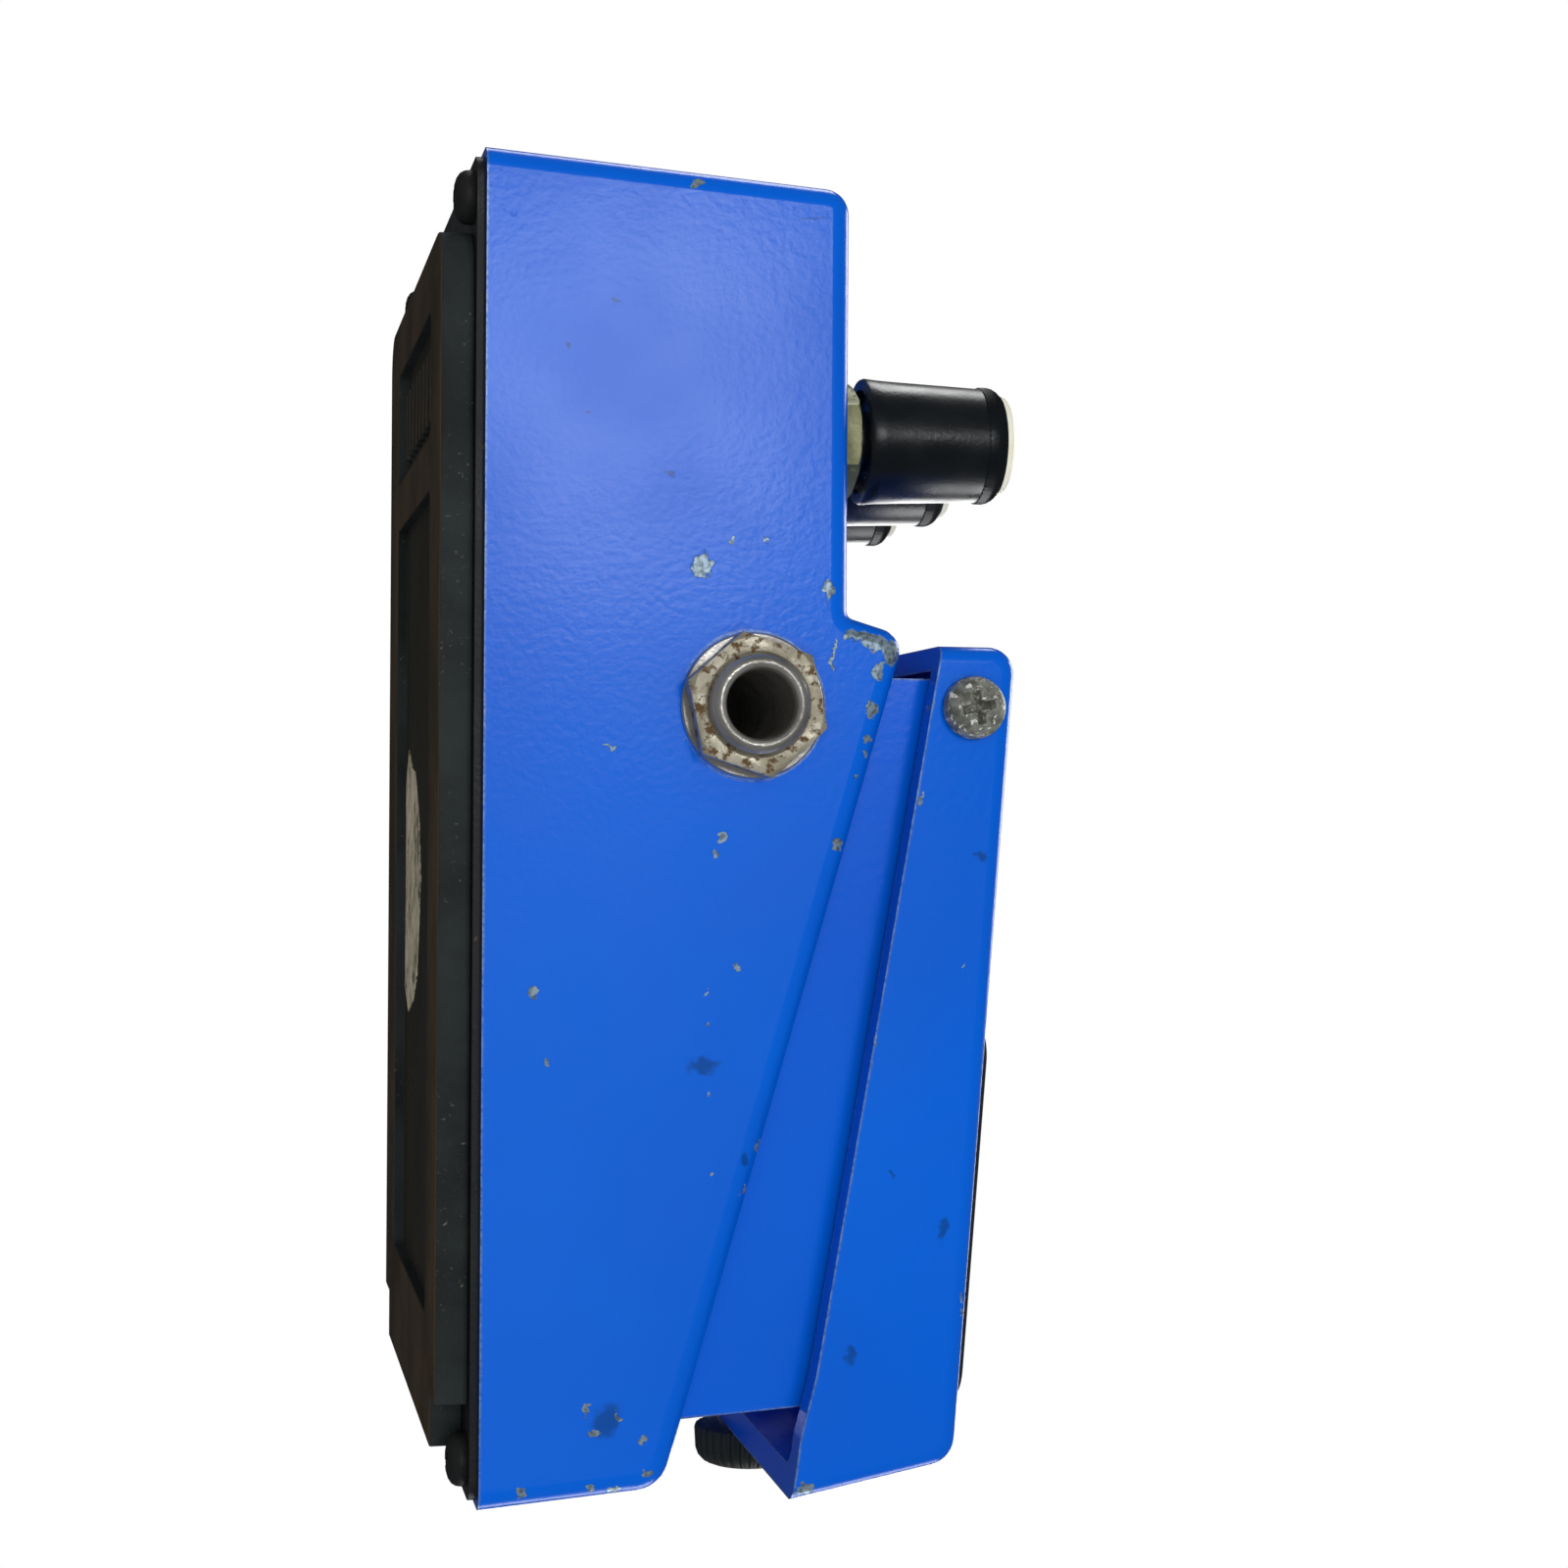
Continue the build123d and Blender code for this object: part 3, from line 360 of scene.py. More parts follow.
# chips elsewhere: across, back, up, then half sizes the same way round
housingFarChips = [
    (30, -61.5, 14, 1.2, 1, 0.6), (-22, -62.2, 18.5, 0.9, 0.8, 0.5), (34, 40, 37, 0.8, 1.3, 0.8),
    (12, 61.5, 37, 1.4, 1, 0.5), (-31, 61.2, 30, 0.8, 1, 1.1), (33.5, -20, 8, 1, 0.9, 0.5),
    (34, 22, 25, 1, 0.6, 0.9), (5, 24, 38.5, 0.6, 0.9, 0.5),
]
treadleFarChips = [
    (-28, -60.3, 48, 1.3, 0.9, 0.8), (18, -60.6, 48.6, 1.0, 0.7, 0.6), (32, -58, 49, 0.9, 1.1, 0.9),
    (31, 15.5, 54, 0.9, 1.2, 0.7), (-12, 16.8, 55, 1.2, 0.7, 0.7), (20, -62.6, 35, 1.4, 0.7, 0.35),
    (32.3, -20, 40, 0.8, 1.3, 0.3), (6, -10, 52.9, 1.8, 0.2, 1),
]


def nearestMark(tree, where, marks, farMarks=()):
    # under 1 inside any of the marks, each a small ellipse on the left side or anywhere else
    nearest = calc(tree, "ADD", 9.0)
    places = [((-34, back, up), (3, long, wide), turn) for back, up, long, wide, turn in marks]
    places += [(mark[:3], mark[3:], 0) for mark in farMarks]
    for place, halfSize, turn in places:
        # each mark waits for the one before, or the renderer runs out of room for them all at once
        chained = {0: nearest, 1: (1e-9, 1e-9, 1e-9), 2: where}
        inTurn = addNode(tree, "ShaderNodeVectorMath", chained, operation="MULTIPLY_ADD").outputs[0]
        settings = {
            "Vector": inTurn,
            "Location": [value * mm for value in place],
            "Rotation": (math.radians(turn), 0, 0),
            "Scale": [value * mm for value in halfSize],
        }
        mapped = addNode(tree, "ShaderNodeMapping", settings, vector_type="TEXTURE").outputs[0]
        reach = addNode(tree, "ShaderNodeVectorMath", {0: mapped}, operation="LENGTH").outputs["Value"]
        nearest = calc(tree, "MINIMUM", nearest, reach)
    return nearest


def raggedPlaces(tree, where):
    # places shaken by fine noise, so that chips and specks have broken outlines
    noise = addNode(tree, "ShaderNodeTexNoise", {"Vector": where, "Scale": wear["raggedScale"], "Detail": 4})
    centring = {0: noise.outputs["Color"], 1: (0.5, 0.5, 0.5)}
    centred = addNode(tree, "ShaderNodeVectorMath", centring, operation="SUBTRACT").outputs[0]
    scaling = {0: centred, "Scale": wear["raggedReach"]}
    scaled = addNode(tree, "ShaderNodeVectorMath", scaling, operation="SCALE").outputs[0]
    return addNode(tree, "ShaderNodeVectorMath", {0: where, 1: scaled}, operation="ADD").outputs[0]


def rubbedEdges(tree, where):
    rounded = addNode(tree, "ShaderNodeBevel", {"Radius": wear["edgeRadius"]}, samples=6)
    normal = addNode(tree, "ShaderNodeNewGeometry").outputs["Normal"]
    pair = {0: rounded.outputs[0], 1: normal}
    facing = addNode(tree, "ShaderNodeVectorMath", pair, operation="DOT_PRODUCT")
    edge = calc(tree, "SUBTRACT", 1.0, facing.outputs["Value"], clamp=True)
    patchy = addNoise(tree, where, wear["patchScale"], 5, 0.7)
    worn = calc(tree, "ADD", calc(tree, "MULTIPLY", edge, wear["edgeGain"]), patchy)
    rubbed = remap(tree, worn, 0.78, 0.92)
    return calc(tree, "MULTIPLY", rubbed, remap(tree, edge, 0.02, 0.06))


def straySpecks(tree, where, ragged):
    cells = addNode(tree, "ShaderNodeTexVoronoi", {"Vector": ragged, "Scale": wear["speckScale"]})
    area = remap(tree, addNoise(tree, where, wear["speckSpread"], 1), 0.57, 0.64)
    return calc(tree, "MULTIPLY", remap(tree, cells.outputs["Distance"], 0.055, 0.035), area)


def wornPaint(name, chips, farChips, smudges):
    material, tree, shader, where = newMaterial(name)
    ragged = raggedPlaces(tree, where)
    chipMask = remap(tree, nearestMark(tree, ragged, chips, farChips), 1.15, 0.95)
    smudgeMask = remap(tree, nearestMark(tree, ragged, smudges), 1.3, 0.5)
    bare = calc(tree, "MAXIMUM", chipMask, rubbedEdges(tree, where))
    bare = calc(tree, "MAXIMUM", bare, straySpecks(tree, where, ragged))
    tone = remap(tree, addNoise(tree, where, wear["toneScale"], 3), 0.3, 0.7)
    colour = mixColour(tree, tone, wear["paint"], wear["paintDeep"])
    colour = mixColour(tree, calc(tree, "MULTIPLY", smudgeMask, wear["grimeAmount"]), colour, wear["grime"])
    bareTone = remap(tree, addNoise(tree, where, wear["bareScale"], 4), 0.35, 0.6)
    bareColour = mixColour(tree, bareTone, wear["bareDark"], wear["bare"])
    tree.links.new(mixColour(tree, bare, colour, bareColour), shader.inputs["Base Color"])
    tree.links.new(calc(tree, "MULTIPLY", bare, wear["bareMetal"]), shader.inputs["Metallic"])
    gloss = remap(tree, addNoise(tree, where, wear["glossScale"], 4), 0.3, 0.7, *wear["gloss"])
    rough = calc(tree, "ADD", gloss, calc(tree, "MULTIPLY", bare, wear["bareRough"]))
    tree.links.new(rough, shader.inputs["Roughness"])
    shader.inputs["Specular IOR Level"].default_value = wear["specular"]
    peel = calc(tree, "MULTIPLY", addNoise(tree, where, wear["peelScale"], 2), 0.5)
    height = calc(tree, "SUBTRACT", peel, calc(tree, "MULTIPLY", bare, wear["bareDepth"]))
    addBump(tree, shader, height, wear["peelDepth"])
    return material


def dustyRubber(name, look):
    # black rubber, browner underneath, with fine grain and pale dust in it
    material, tree, shader, where = newMaterial(name)
    normal = addNode(tree, "ShaderNodeNewGeometry").outputs["Normal"]
    facing = addNode(tree, "ShaderNodeSeparateXYZ", {0: normal})
    under = remap(tree, facing.outputs["Z"], -0.5, -0.9)
    cloudy = remap(tree, addNoise(tree, where, 55, 5, 0.6), 0.35, 0.65)
    side = mixColour(tree, cloudy, look["side"], look["sideSecond"])
    below = mixColour(tree, cloudy, look["below"], look["belowSecond"])
    if "sunk" in look:
        height = addNode(tree, "ShaderNodeSeparateXYZ", {0: where}).outputs["Z"]
        sunk = remap(tree, height, look["sunkFrom"], look["sunkFrom"] + 0.3 * mm)
        below = mixColour(tree, calc(tree, "MULTIPLY", sunk, 0.85), below, look["sunk"])
    colour = mixColour(tree, under, side, below)
    dust = remap(tree, addNoise(tree, where, 1700, 3, 0.7), 0.62, 0.75)
    dust = calc(tree, "MULTIPLY", dust, remap(tree, addNoise(tree, where, 90, 3), 0.45, 0.62))
    colour = mixColour(tree, calc(tree, "MULTIPLY", dust, look["dustAmount"]), colour, look["dust"])
    tree.links.new(colour, shader.inputs["Base Color"])
    tree.links.new(remap(tree, cloudy, 0, 1, 0.62, 0.8), shader.inputs["Roughness"])
    shader.inputs["Specular IOR Level"].default_value = 0.3
    grain = addNoise(tree, where, 1900, 3)
    addBump(tree, shader, calc(tree, "ADD", grain, calc(tree, "MULTIPLY", dust, 0.4)), 0.00008)
    return material


housingPaint = wornPaint("housingPaint", housingChips, housingFarChips, housingSmudges)
treadlePaint = wornPaint("treadlePaint", treadleChips, treadleFarChips, treadleSmudges)
soleRubber = dustyRubber("soleRubber", {
    "side": tint(30, 35, 36), "sideSecond": tint(46, 51, 52), "below": tint(84, 66, 44),
    "belowSecond": tint(62, 52, 36), "sunk": tint(46, 46, 38), "sunkFrom": 0.5 * mm,
    "dust": tint(150, 146, 132), "dustAmount": 0.55,
})
padRubber = dustyRubber("padRubber", {
    "side": tint(26, 27, 28), "sideSecond": tint(36, 37, 38), "below": tint(30, 30, 30),
    "belowSecond": tint(36, 36, 36), "dust": tint(140, 138, 130), "dustAmount": 0.35,
})
finishes = {
    "rustyNickel": {"colour": tint(214, 208, 188), "second": tint(178, 170, 148), "rough": (0.36, 0.5),
                    "metal": 0.7, "stain": tint(92, 70, 42), "stainScale": 1050, "stainFrom": 0.515,
                    "cloudScale": 400, "bump": 0.00004, "stainHeight": -0.8},
    "plainNickel": {"colour": tint(204, 202, 196), "second": tint(160, 156, 148), "rough": (0.28, 0.42),
                    "metal": 0.8, "stain": tint(104, 90, 66), "stainScale": 900, "stainFrom": 0.64,
                    "stainHeight": -0.5},
    "oldZinc": {"colour": tint(166, 168, 158), "second": tint(112, 114, 104), "rough": (0.34, 0.55),
                "metal": 0.55, "stain": tint(206, 208, 200), "stainScale": 1300, "stainFrom": 0.54,
                "bump": 0.00016, "cloudScale": 900, "stainHeight": 0.9},
    "greenZinc": {"colour": tint(160, 158, 122), "second": tint(112, 116, 84), "rough": (0.35, 0.55),
                  "metal": 0.6, "stain": tint(110, 122, 84), "stainScale": 800, "stainFrom": 0.58},
    "brightSteel": {"colour": tint(176, 176, 172), "second": tint(146, 146, 142), "rough": (0.3, 0.42),
                    "metal": 1.0},
    "dullBrass": {"colour": tint(196, 168, 104), "second": tint(150, 124, 70), "rough": (0.3, 0.45),
                  "metal": 1.0},
    "blackSteel": {"colour": tint(24, 25, 26), "second": tint(34, 34, 34), "rough": (0.4, 0.55),
                   "stain": tint(92, 78, 62), "stainScale": 420, "stainFrom": 0.66},
    "blackPlastic": {"colour": tint(13, 17, 20), "second": tint(19, 23, 26), "rough": (0.24, 0.36),
                     "specular": 0.6, "cloudScale": 260, "bump": 0.000015},
    "dullPlastic": {"colour": tint(32, 36, 34), "second": tint(44, 47, 44), "rough": (0.5, 0.62),
                    "stain": tint(84, 86, 78), "stainScale": 900, "stainFrom": 0.63},
    "ivoryPlastic": {"colour": tint(246, 243, 226), "second": tint(236, 230, 206), "rough": (0.35, 0.48),
                     "stain": tint(206, 194, 152), "stainScale": 500, "stainFrom": 0.66},
    "nylon": {"colour": tint(222, 218, 204), "second": tint(206, 200, 184), "rough": (0.4, 0.5)},
    "boardGreen": {"colour": tint(26, 84, 46), "second": tint(36, 100, 56), "rough": (0.3, 0.4)},
    "capSleeve": {"colour": tint(28, 34, 66), "second": tint(36, 44, 84), "rough": (0.3, 0.4)},
    "batteryCase": {"colour": tint(56, 58, 62), "second": tint(70, 72, 76), "rough": (0.3, 0.42),
                    "metal": 0.6},
    "leadRed": {"colour": tint(150, 26, 22), "second": tint(126, 20, 18), "rough": (0.4, 0.5)},
    "darkFilm": {"colour": tint(30, 30, 32), "second": tint(38, 38, 40), "rough": (0.3, 0.4)},
    "foam": {"colour": tint(46, 46, 48), "second": tint(62, 62, 64), "rough": (0.85, 0.95), "bump": 0.0003,
             "grainScale": 1500},
    "whiteInk": {"colour": tint(232, 236, 238), "second": tint(206, 212, 216), "rough": (0.45, 0.55)},
    "redLens": {"colour": tint(170, 20, 16), "second": tint(140, 12, 10), "rough": (0.12, 0.2)},
    "oldPaper": {"colour": tint(214, 204, 178), "second": tint(164, 154, 130), "rough": (0.8, 0.9),
                 "cloudScale": 420, "stain": tint(104, 96, 78), "stainScale": 380, "stainFrom": 0.55,
                 "bump": 0.00012},
}
material = {name: plainFinish(name, look) for name, look in finishes.items()}
print("materials made:", len(material) + 4)

nodeFinish = {
    "housing": housingPaint, "treadle": treadlePaint, "rubber_sole": soleRubber,
    "treadle_pad": padRubber, "switch_boot": padRubber, "lead_grommet": padRubber,
}
# and the CAD nodes that take a plain finish
plainNodes = {
    "blackSteel": ("base_plate",),
    "brightSteel": ("board_screws", "power_pin", "thumbscrew_shank"),
    "greenZinc": ("pot_washers",),
    "dullBrass": ("output_jack_contact", "input_jack_contact"),
    "blackPlastic": ("circuit_chips", "board_link", "battery_snap", "foot_switch"),
    "nylon": ("hinge_bushes", "guide_bush", "spring_seat", "spring_cup", "treadle_post", "switch_plunger"),
    "foam": ("battery_foam",),
    "boardGreen": ("main_board", "control_board"),
    "capSleeve": ("capacitors",),
    "batteryCase": ("battery",),
    "leadRed": ("battery_leads", "jack_leads", "power_leads"),
    "darkFilm": ("insulating_sheet",),
}
for finish, nodes in plainNodes.items():
    for node in nodes:
        nodeFinish[node] = material[finish]
for side in ("left", "middle", "right"):
    nodeFinish[side + "_pot"] = material["brightSteel"]
    nodeFinish[side + "_shaft"] = material["brightSteel"]
for node, finish in nodeFinish.items():
    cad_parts[node].data.materials.clear()
    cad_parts[node].data.materials.append(finish)


# knobs: a smooth tapered body, a finely ribbed ring, an ivory cap with a pointer groove

knobLook = {"ribs": 66, "ribDepth": 0.32 * mm, "footRound": 0.35 * mm}


def makeKnob(side):
    low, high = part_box(side + "_knob")
    capLow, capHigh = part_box(side + "_knob_cap")
    centre = (low + high) / 2
    radius = (high.x - low.x) / 2
    tall = high.z - low.z
    ringLow, ringHigh = tall - 1.95 * mm, tall - 0.3 * mm
    neck = radius - 0.55 * mm
    ring = radius - 0.4 * mm
    capRadius = (capHigh.x - capLow.x) / 2
    profile = [
        (3.2 * mm, 0.9 * mm), (5.1 * mm, 0.9 * mm), (5.1 * mm, 0), (radius - knobLook["footRound"], 0),
        (radius - 0.1 * mm, 0.1 * mm), (radius, knobLook["footRound"]), (radius - 0.12 * mm, 1.6 * mm),
        (radius - 0.22 * mm, 3.5 * mm), (neck, ringLow - 0.12 * mm), (ring - 0.08 * mm, ringLow - 0.04 * mm),
        (ring, ringLow + 0.06 * mm), (ring, tall - 1.15 * mm), (ring - 0.1 * mm, tall - 0.78 * mm),
        (ring - 0.3 * mm, tall - 0.42 * mm), (ring - 0.55 * mm, tall - 0.16 * mm),
        (capRadius + 0.12 * mm, tall), (capRadius, tall), (capRadius, tall - 0.8 * mm),
        (3.2 * mm, tall - 0.8 * mm),
    ]
    knob = turned(side + "Knob", profile, 2 * knobLook["ribs"], (centre.x, centre.y, low.z), (0, 0, 1))
    step = math.pi / knobLook["ribs"]

    def inGroove(point):
        across, back = point.x - centre.x, point.y - centre.y
        onRing = low.z + ringLow - 0.05 * mm < point.z < low.z + ringHigh
        turn = round(math.atan2(back, across) / step)
        return onRing and turn % 2 == 0 and math.hypot(across, back) > ring - 0.5 * mm

    shrink = 1 - knobLook["ribDepth"] / ring
    scalePoints(knob, inGroove, (shrink, shrink, 1), (centre.x, centre.y, 0))
    fitPiece(knob, side + "_knob", "black_plastic", material["blackPlastic"], side + "_knob")

    capTall = capHigh.z - capLow.z
    inner = capRadius - 0.02 * mm
    capProfile = [
        (inner, 0), (inner, capTall - 0.55 * mm), (inner - 0.1 * mm, capTall - 0.3 * mm),
        (inner - 0.4 * mm, capTall - 0.1 * mm), (inner - 0.9 * mm, capTall - 0.03 * mm), (1.0 * mm, capTall),
    ]
    cap = turned(side + "KnobCap", capProfile, 96, (centre.x, centre.y, capLow.z), (0, 0, 1))
    groove = addBlock("groove", (centre.x - 0.35 * mm, centre.y + 0.6 * mm, capHigh.z - 0.35 * mm),
                      (centre.x + 0.35 * mm, centre.y + 6 * mm, capHigh.z + 1 * mm))
    cutWith(cap, groove)
    closeUp(cap)
    fitPiece(cap, side + "_knob", "ivory_plastic", material["ivoryPlastic"], side + "_knob_cap")


for side in ("left", "middle", "right"):
    makeKnob(side)
print("knobs made")


# hex nuts: a six-sided bar turned down to rounded corners, then bored

def hexNut(name, place, direction, flats, thick, boreRadius, turn):
    corner = flats / math.sqrt(3)
    deselectAll()
    bpy.ops.mesh.primitive_cylinder_add(vertices=6, radius=corner, depth=thick, location=(0, 0, thick / 2))
    nut = bpy.context.object
    nut.name = name
    nut.rotation_euler = (0, 0, turn)
    placeInMesh(nut)
    rim = flats / 2 + 0.25 * mm
    cut = 0.35 * mm
    profile = [(rim, 0), (corner + 0.01 * mm, cut), (corner + 0.01 * mm, thick - cut), (rim, thick)]
    cutWith(nut, turned("turning", profile, 96, (0, 0, 0), (0, 0, 1)), "INTERSECT")
    bore = [(boreRadius + 0.4 * mm, -0.1 * mm), (boreRadius, 0.35 * mm), (boreRadius, thick - 0.35 * mm),
            (boreRadius + 0.45 * mm, thick + 0.1 * mm)]
    cutWith(nut, turned("boring", bore, 96, (0, 0, 0), (0, 0, 1)))
    standAt(nut, place, direction)
    bevelEdges(nut, 0.06 * mm, 2, 25)
    closeUp(nut, 30)
    return nut


def makePotNuts():
    low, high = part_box("pot_nuts")
    flats = high.y - low.y
    for side in ("left", "middle", "right"):
        spot = middleOf(side + "_knob")
        nut = hexNut(side + "PotNut", (spot.x, spot.y, low.z), (0, 0, 1), flats, high.z - low.z, 3.5 * mm, 0)
        fitPiece(nut, "body", "zinc", material["greenZinc"], "pot_nuts")


makePotNuts()


# jacks: threaded bush with a rolled mouth, hex nut, washer and the moulded body behind the wall

jackLook = {"bore": 3.2 * mm, "bush": 4.6 * mm, "thread": 7.8 * mm, "pitch": 0.7 * mm, "depth": 0.3 * mm}


def makeJack(name, side):
    nodeLow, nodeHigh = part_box(name + "_jack")
    nutLow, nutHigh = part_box(name + "_jack_nut")
    washerLow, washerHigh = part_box(name + "_jack_washer")
    centre = (washerLow + washerHigh) / 2
    outward = (side, 0, 0)
    mouth = max(abs(nodeLow.x), abs(nodeHigh.x))
    bodyEnd = min(abs(nodeLow.x), abs(nodeHigh.x))
    nutFace = max(abs(nutLow.x), abs(nutHigh.x))
    shoulder = mouth - jackLook["thread"]
    bore, bush = jackLook["bore"], jackLook["bush"]
    floor = bodyEnd + 2.0 * mm
    profile = [
        (bore + 0.02 * mm, floor), (bore, mouth - 0.9 * mm), (bore + 0.06 * mm, mouth - 0.45 * mm),
        (bore + 0.22 * mm, mouth - 0.14 * mm), (bore + 0.5 * mm, mouth),
        (bore + 0.85 * mm, mouth - 0.03 * mm), (bush - 0.25 * mm, mouth - 0.2 * mm),
        (bush - 0.12 * mm, mouth - 0.45 * mm),
    ]
    root = bush - jackLook["depth"]
    along = mouth - 0.55 * mm
    while along > nutFace - 0.8 * mm:
        profile += [(bush, along), (bush, along - 0.1 * mm), (root, along - 0.4 * mm)]
        along -= jackLook["pitch"]
    profile += [(bush, along), (bush, shoulder), (bush, floor)]
    pipe = turned(name + "JackBush", profile, 96, (0, centre.y, centre.z), outward, ring=True)
    fitPiece(pipe, "body", "jack_metal", material["plainNickel"], name + "_jack")

    block = addBlock(name + "JackBody", (side * bodyEnd, nodeLow.y, nodeLow.z),
                     (side * shoulder, nodeHigh.y, nodeHigh.z))
    drill = [(bush + 0.01 * mm, floor), (bush + 0.01 * mm, mouth)]
    cutWith(block, turned("drill", drill, 96, (0, centre.y, centre.z), outward))
    slotLow = (side * (floor + 9.8 * mm), centre.y - 2 * mm, centre.z + bore - 0.6 * mm)
    slotHigh = (side * (floor - 0.01 * mm), centre.y + 2 * mm, nodeHigh.z + 1 * mm)
    cutWith(block, addBlock("slot", tuple(map(min, slotLow, slotHigh)), tuple(map(max, slotLow, slotHigh))))
    bevelEdges(block, 0.4 * mm, 3, 40)
    closeUp(block)
    fitPiece(block, "body", "jack_metal", material["dullPlastic"], name + "_jack")

    base = side * min(abs(nutLow.x), abs(nutHigh.x))
    nut = hexNut(name + "JackNut", (base, centre.y, centre.z), outward, nutHigh.z - nutLow.z,
                 nutFace - abs(base), bush, math.radians(12))
    fitPiece(nut, "body", "worn_nickel", material["rustyNickel"], name + "_jack_nut")

    outer = (washerHigh.y - washerLow.y) / 2 - 0.2 * mm
    thick = washerHigh.x - washerLow.x
    rim = [(bush + 0.25 * mm, 0), (outer - 0.1 * mm, 0), (outer, 0.12 * mm), (outer, thick - 0.15 * mm),
           (outer - 0.15 * mm, thick), (bush + 0.25 * mm, thick)]
    start = min(abs(washerLow.x), abs(washerHigh.x))
    washer = turned(name + "JackWasher", rim, 96, (side * start, centre.y, centre.z), outward, ring=True)
    fitPiece(washer, "body", "worn_nickel", material["plainNickel"], name + "_jack_washer")


makeJack("output", leftSide)
makeJack("input", rightSide)
print("jacks made")


# cross-head screws

def crossScrew(name, place, direction, headRadius, headTall, shank, turn):
    # shank is a list of (radius, depth) from the tip up to the head
    profile = [(radius, -depth) for radius, depth in shank] + [
        (headRadius, 0), (headRadius, 0.3 * headTall), (0.97 * headRadius, 0.5 * headTall),
        (0.88 * headRadius, 0.7 * headTall), (0.7 * headRadius, 0.87 * headTall),
        (0.45 * headRadius, 0.97 * headTall), (0.1 * headRadius, headTall),
    ]
    screw = turned(name, profile, 64, (0, 0, 0), (0, 0, 1))
    wing, half = 0.66 * headRadius, 0.15 * headRadius
    for quarter in (0, math.pi / 2):
        slot = addBlock("slot", (-wing, -half, 0.15 * headTall), (wing, half, 1.3 * headTall))
        scaleFaces(slot, facesDown, (0.5, 0.75, 1))
        slot.rotation_euler = (0, 0, turn + quarter)
        placeInMesh(slot)
        cutWith(screw, slot)
    heart = turned("heart", [(0.1 * headRadius, 0.05 * headTall), (0.34 * headRadius, 1.3 * headTall)], 24,
                   (0, 0, 0), (0, 0, 1))
    cutWith(screw, heart)
    standAt(screw, place, direction)
    bevelEdges(screw, 0.05 * mm, 2, 40)
    closeUp(screw, 40)
    return screw


def makeHingeScrews():
    low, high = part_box("hinge_screws")
    headTall, shoulder = 2.1 * mm, 1.7 * mm
    spot = (low + high) / 2
    headFoot = high.x - headTall
    threadTop = headFoot - 29.5 * mm
    shank = [(1.0 * mm, 7.2 * mm), (1.25 * mm, 6.9 * mm), (1.25 * mm, threadTop), (shoulder, threadTop),
             (shoulder, 0)]
    for name, side in (("left", leftSide), ("right", rightSide)):
        screw = crossScrew(name + "HingeScrew", (side * headFoot, spot.y, spot.z), (side, 0, 0),
                           (high.z - low.z) / 2, headTall, shank, math.radians(12))
        fitPiece(screw, "body", "zinc", material["oldZinc"], "hinge_screws")


def makeBaseScrews():
    low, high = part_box("base_screws")
    headRadius, headTall = 2.5 * mm, 1.8 * mm
    shank = [(1.2 * mm, high.z - low.z - headTall), (1.5 * mm, 7.4 * mm), (1.5 * mm, 0)]
    first = crossScrew("baseScrew1", (high.x - headRadius, high.y - headRadius, low.z + headTall), (0, 0, -1),
                       headRadius, headTall, shank, math.radians(30))
    across, deep = high.x - low.x - 2 * headRadius, high.y - low.y - 2 * headRadius
    moves = [(-across, 0, 0), (0, -deep, 0), (-across, -deep, 0)]
    screws = [first] + [copyOf(first, "baseScrew" + str(n + 2), move) for n, move in enumerate(moves)]
    for screw in screws:
        fitPiece(screw, "body", "black_steel", material["blackSteel"], "base_screws")


makeHingeScrews()
makeBaseScrews()
print("screws made")


# thumbscrew head: fluted, with a rounded end

thumbLook = {"flutes": 34, "fluteDepth": 0.32 * mm}


def makeThumbHead():
    low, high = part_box("thumbscrew_head")
    centre = (low + high) / 2
    radius = (high.z - low.z) / 2
    tall = high.y - low.y
    profile = [
        (radius - 0.5 * mm, 0), (radius - 0.1 * mm, 0.15 * mm), (radius, 0.5 * mm),
        (radius - 0.12 * mm, tall - 1.5 * mm), (radius - 0.35 * mm, tall - 0.9 * mm),
        (radius - 0.85 * mm, tall - 0.35 * mm), (radius - 1.5 * mm, tall - 0.08 * mm),
        (radius - 2.2 * mm, tall), (0.6 * mm, tall),
    ]
    head = turned("thumbHead", profile, 4 * thumbLook["flutes"], (centre.x, high.y, centre.z), (0, -1, 0))
    step = 2 * math.pi / (4 * thumbLook["flutes"])

    def inFlute(point):
        across, up = point.x - centre.x, point.z - centre.z
        turn = round(math.atan2(up, across) / step)
        return math.hypot(across, up) > radius - 1.0 * mm and turn % 4 < 2

    shrink = 1 - thumbLook["fluteDepth"] / radius
    scalePoints(head, inFlute, (shrink, 1, shrink), (centre.x, 0, centre.z))
    closeUp(head, 30)
    fitPiece(head, "thumbscrew", "black_plastic", material["dullPlastic"], "thumbscrew_head")


makeThumbHead()


# treadle pad: rounded mat with raised ribs inside a plain border

padLook = {"thick": 1.8 * mm, "ribs": 17, "ribTall": 0.35 * mm, "border": 3.2 * mm, "corner": 3 * mm}


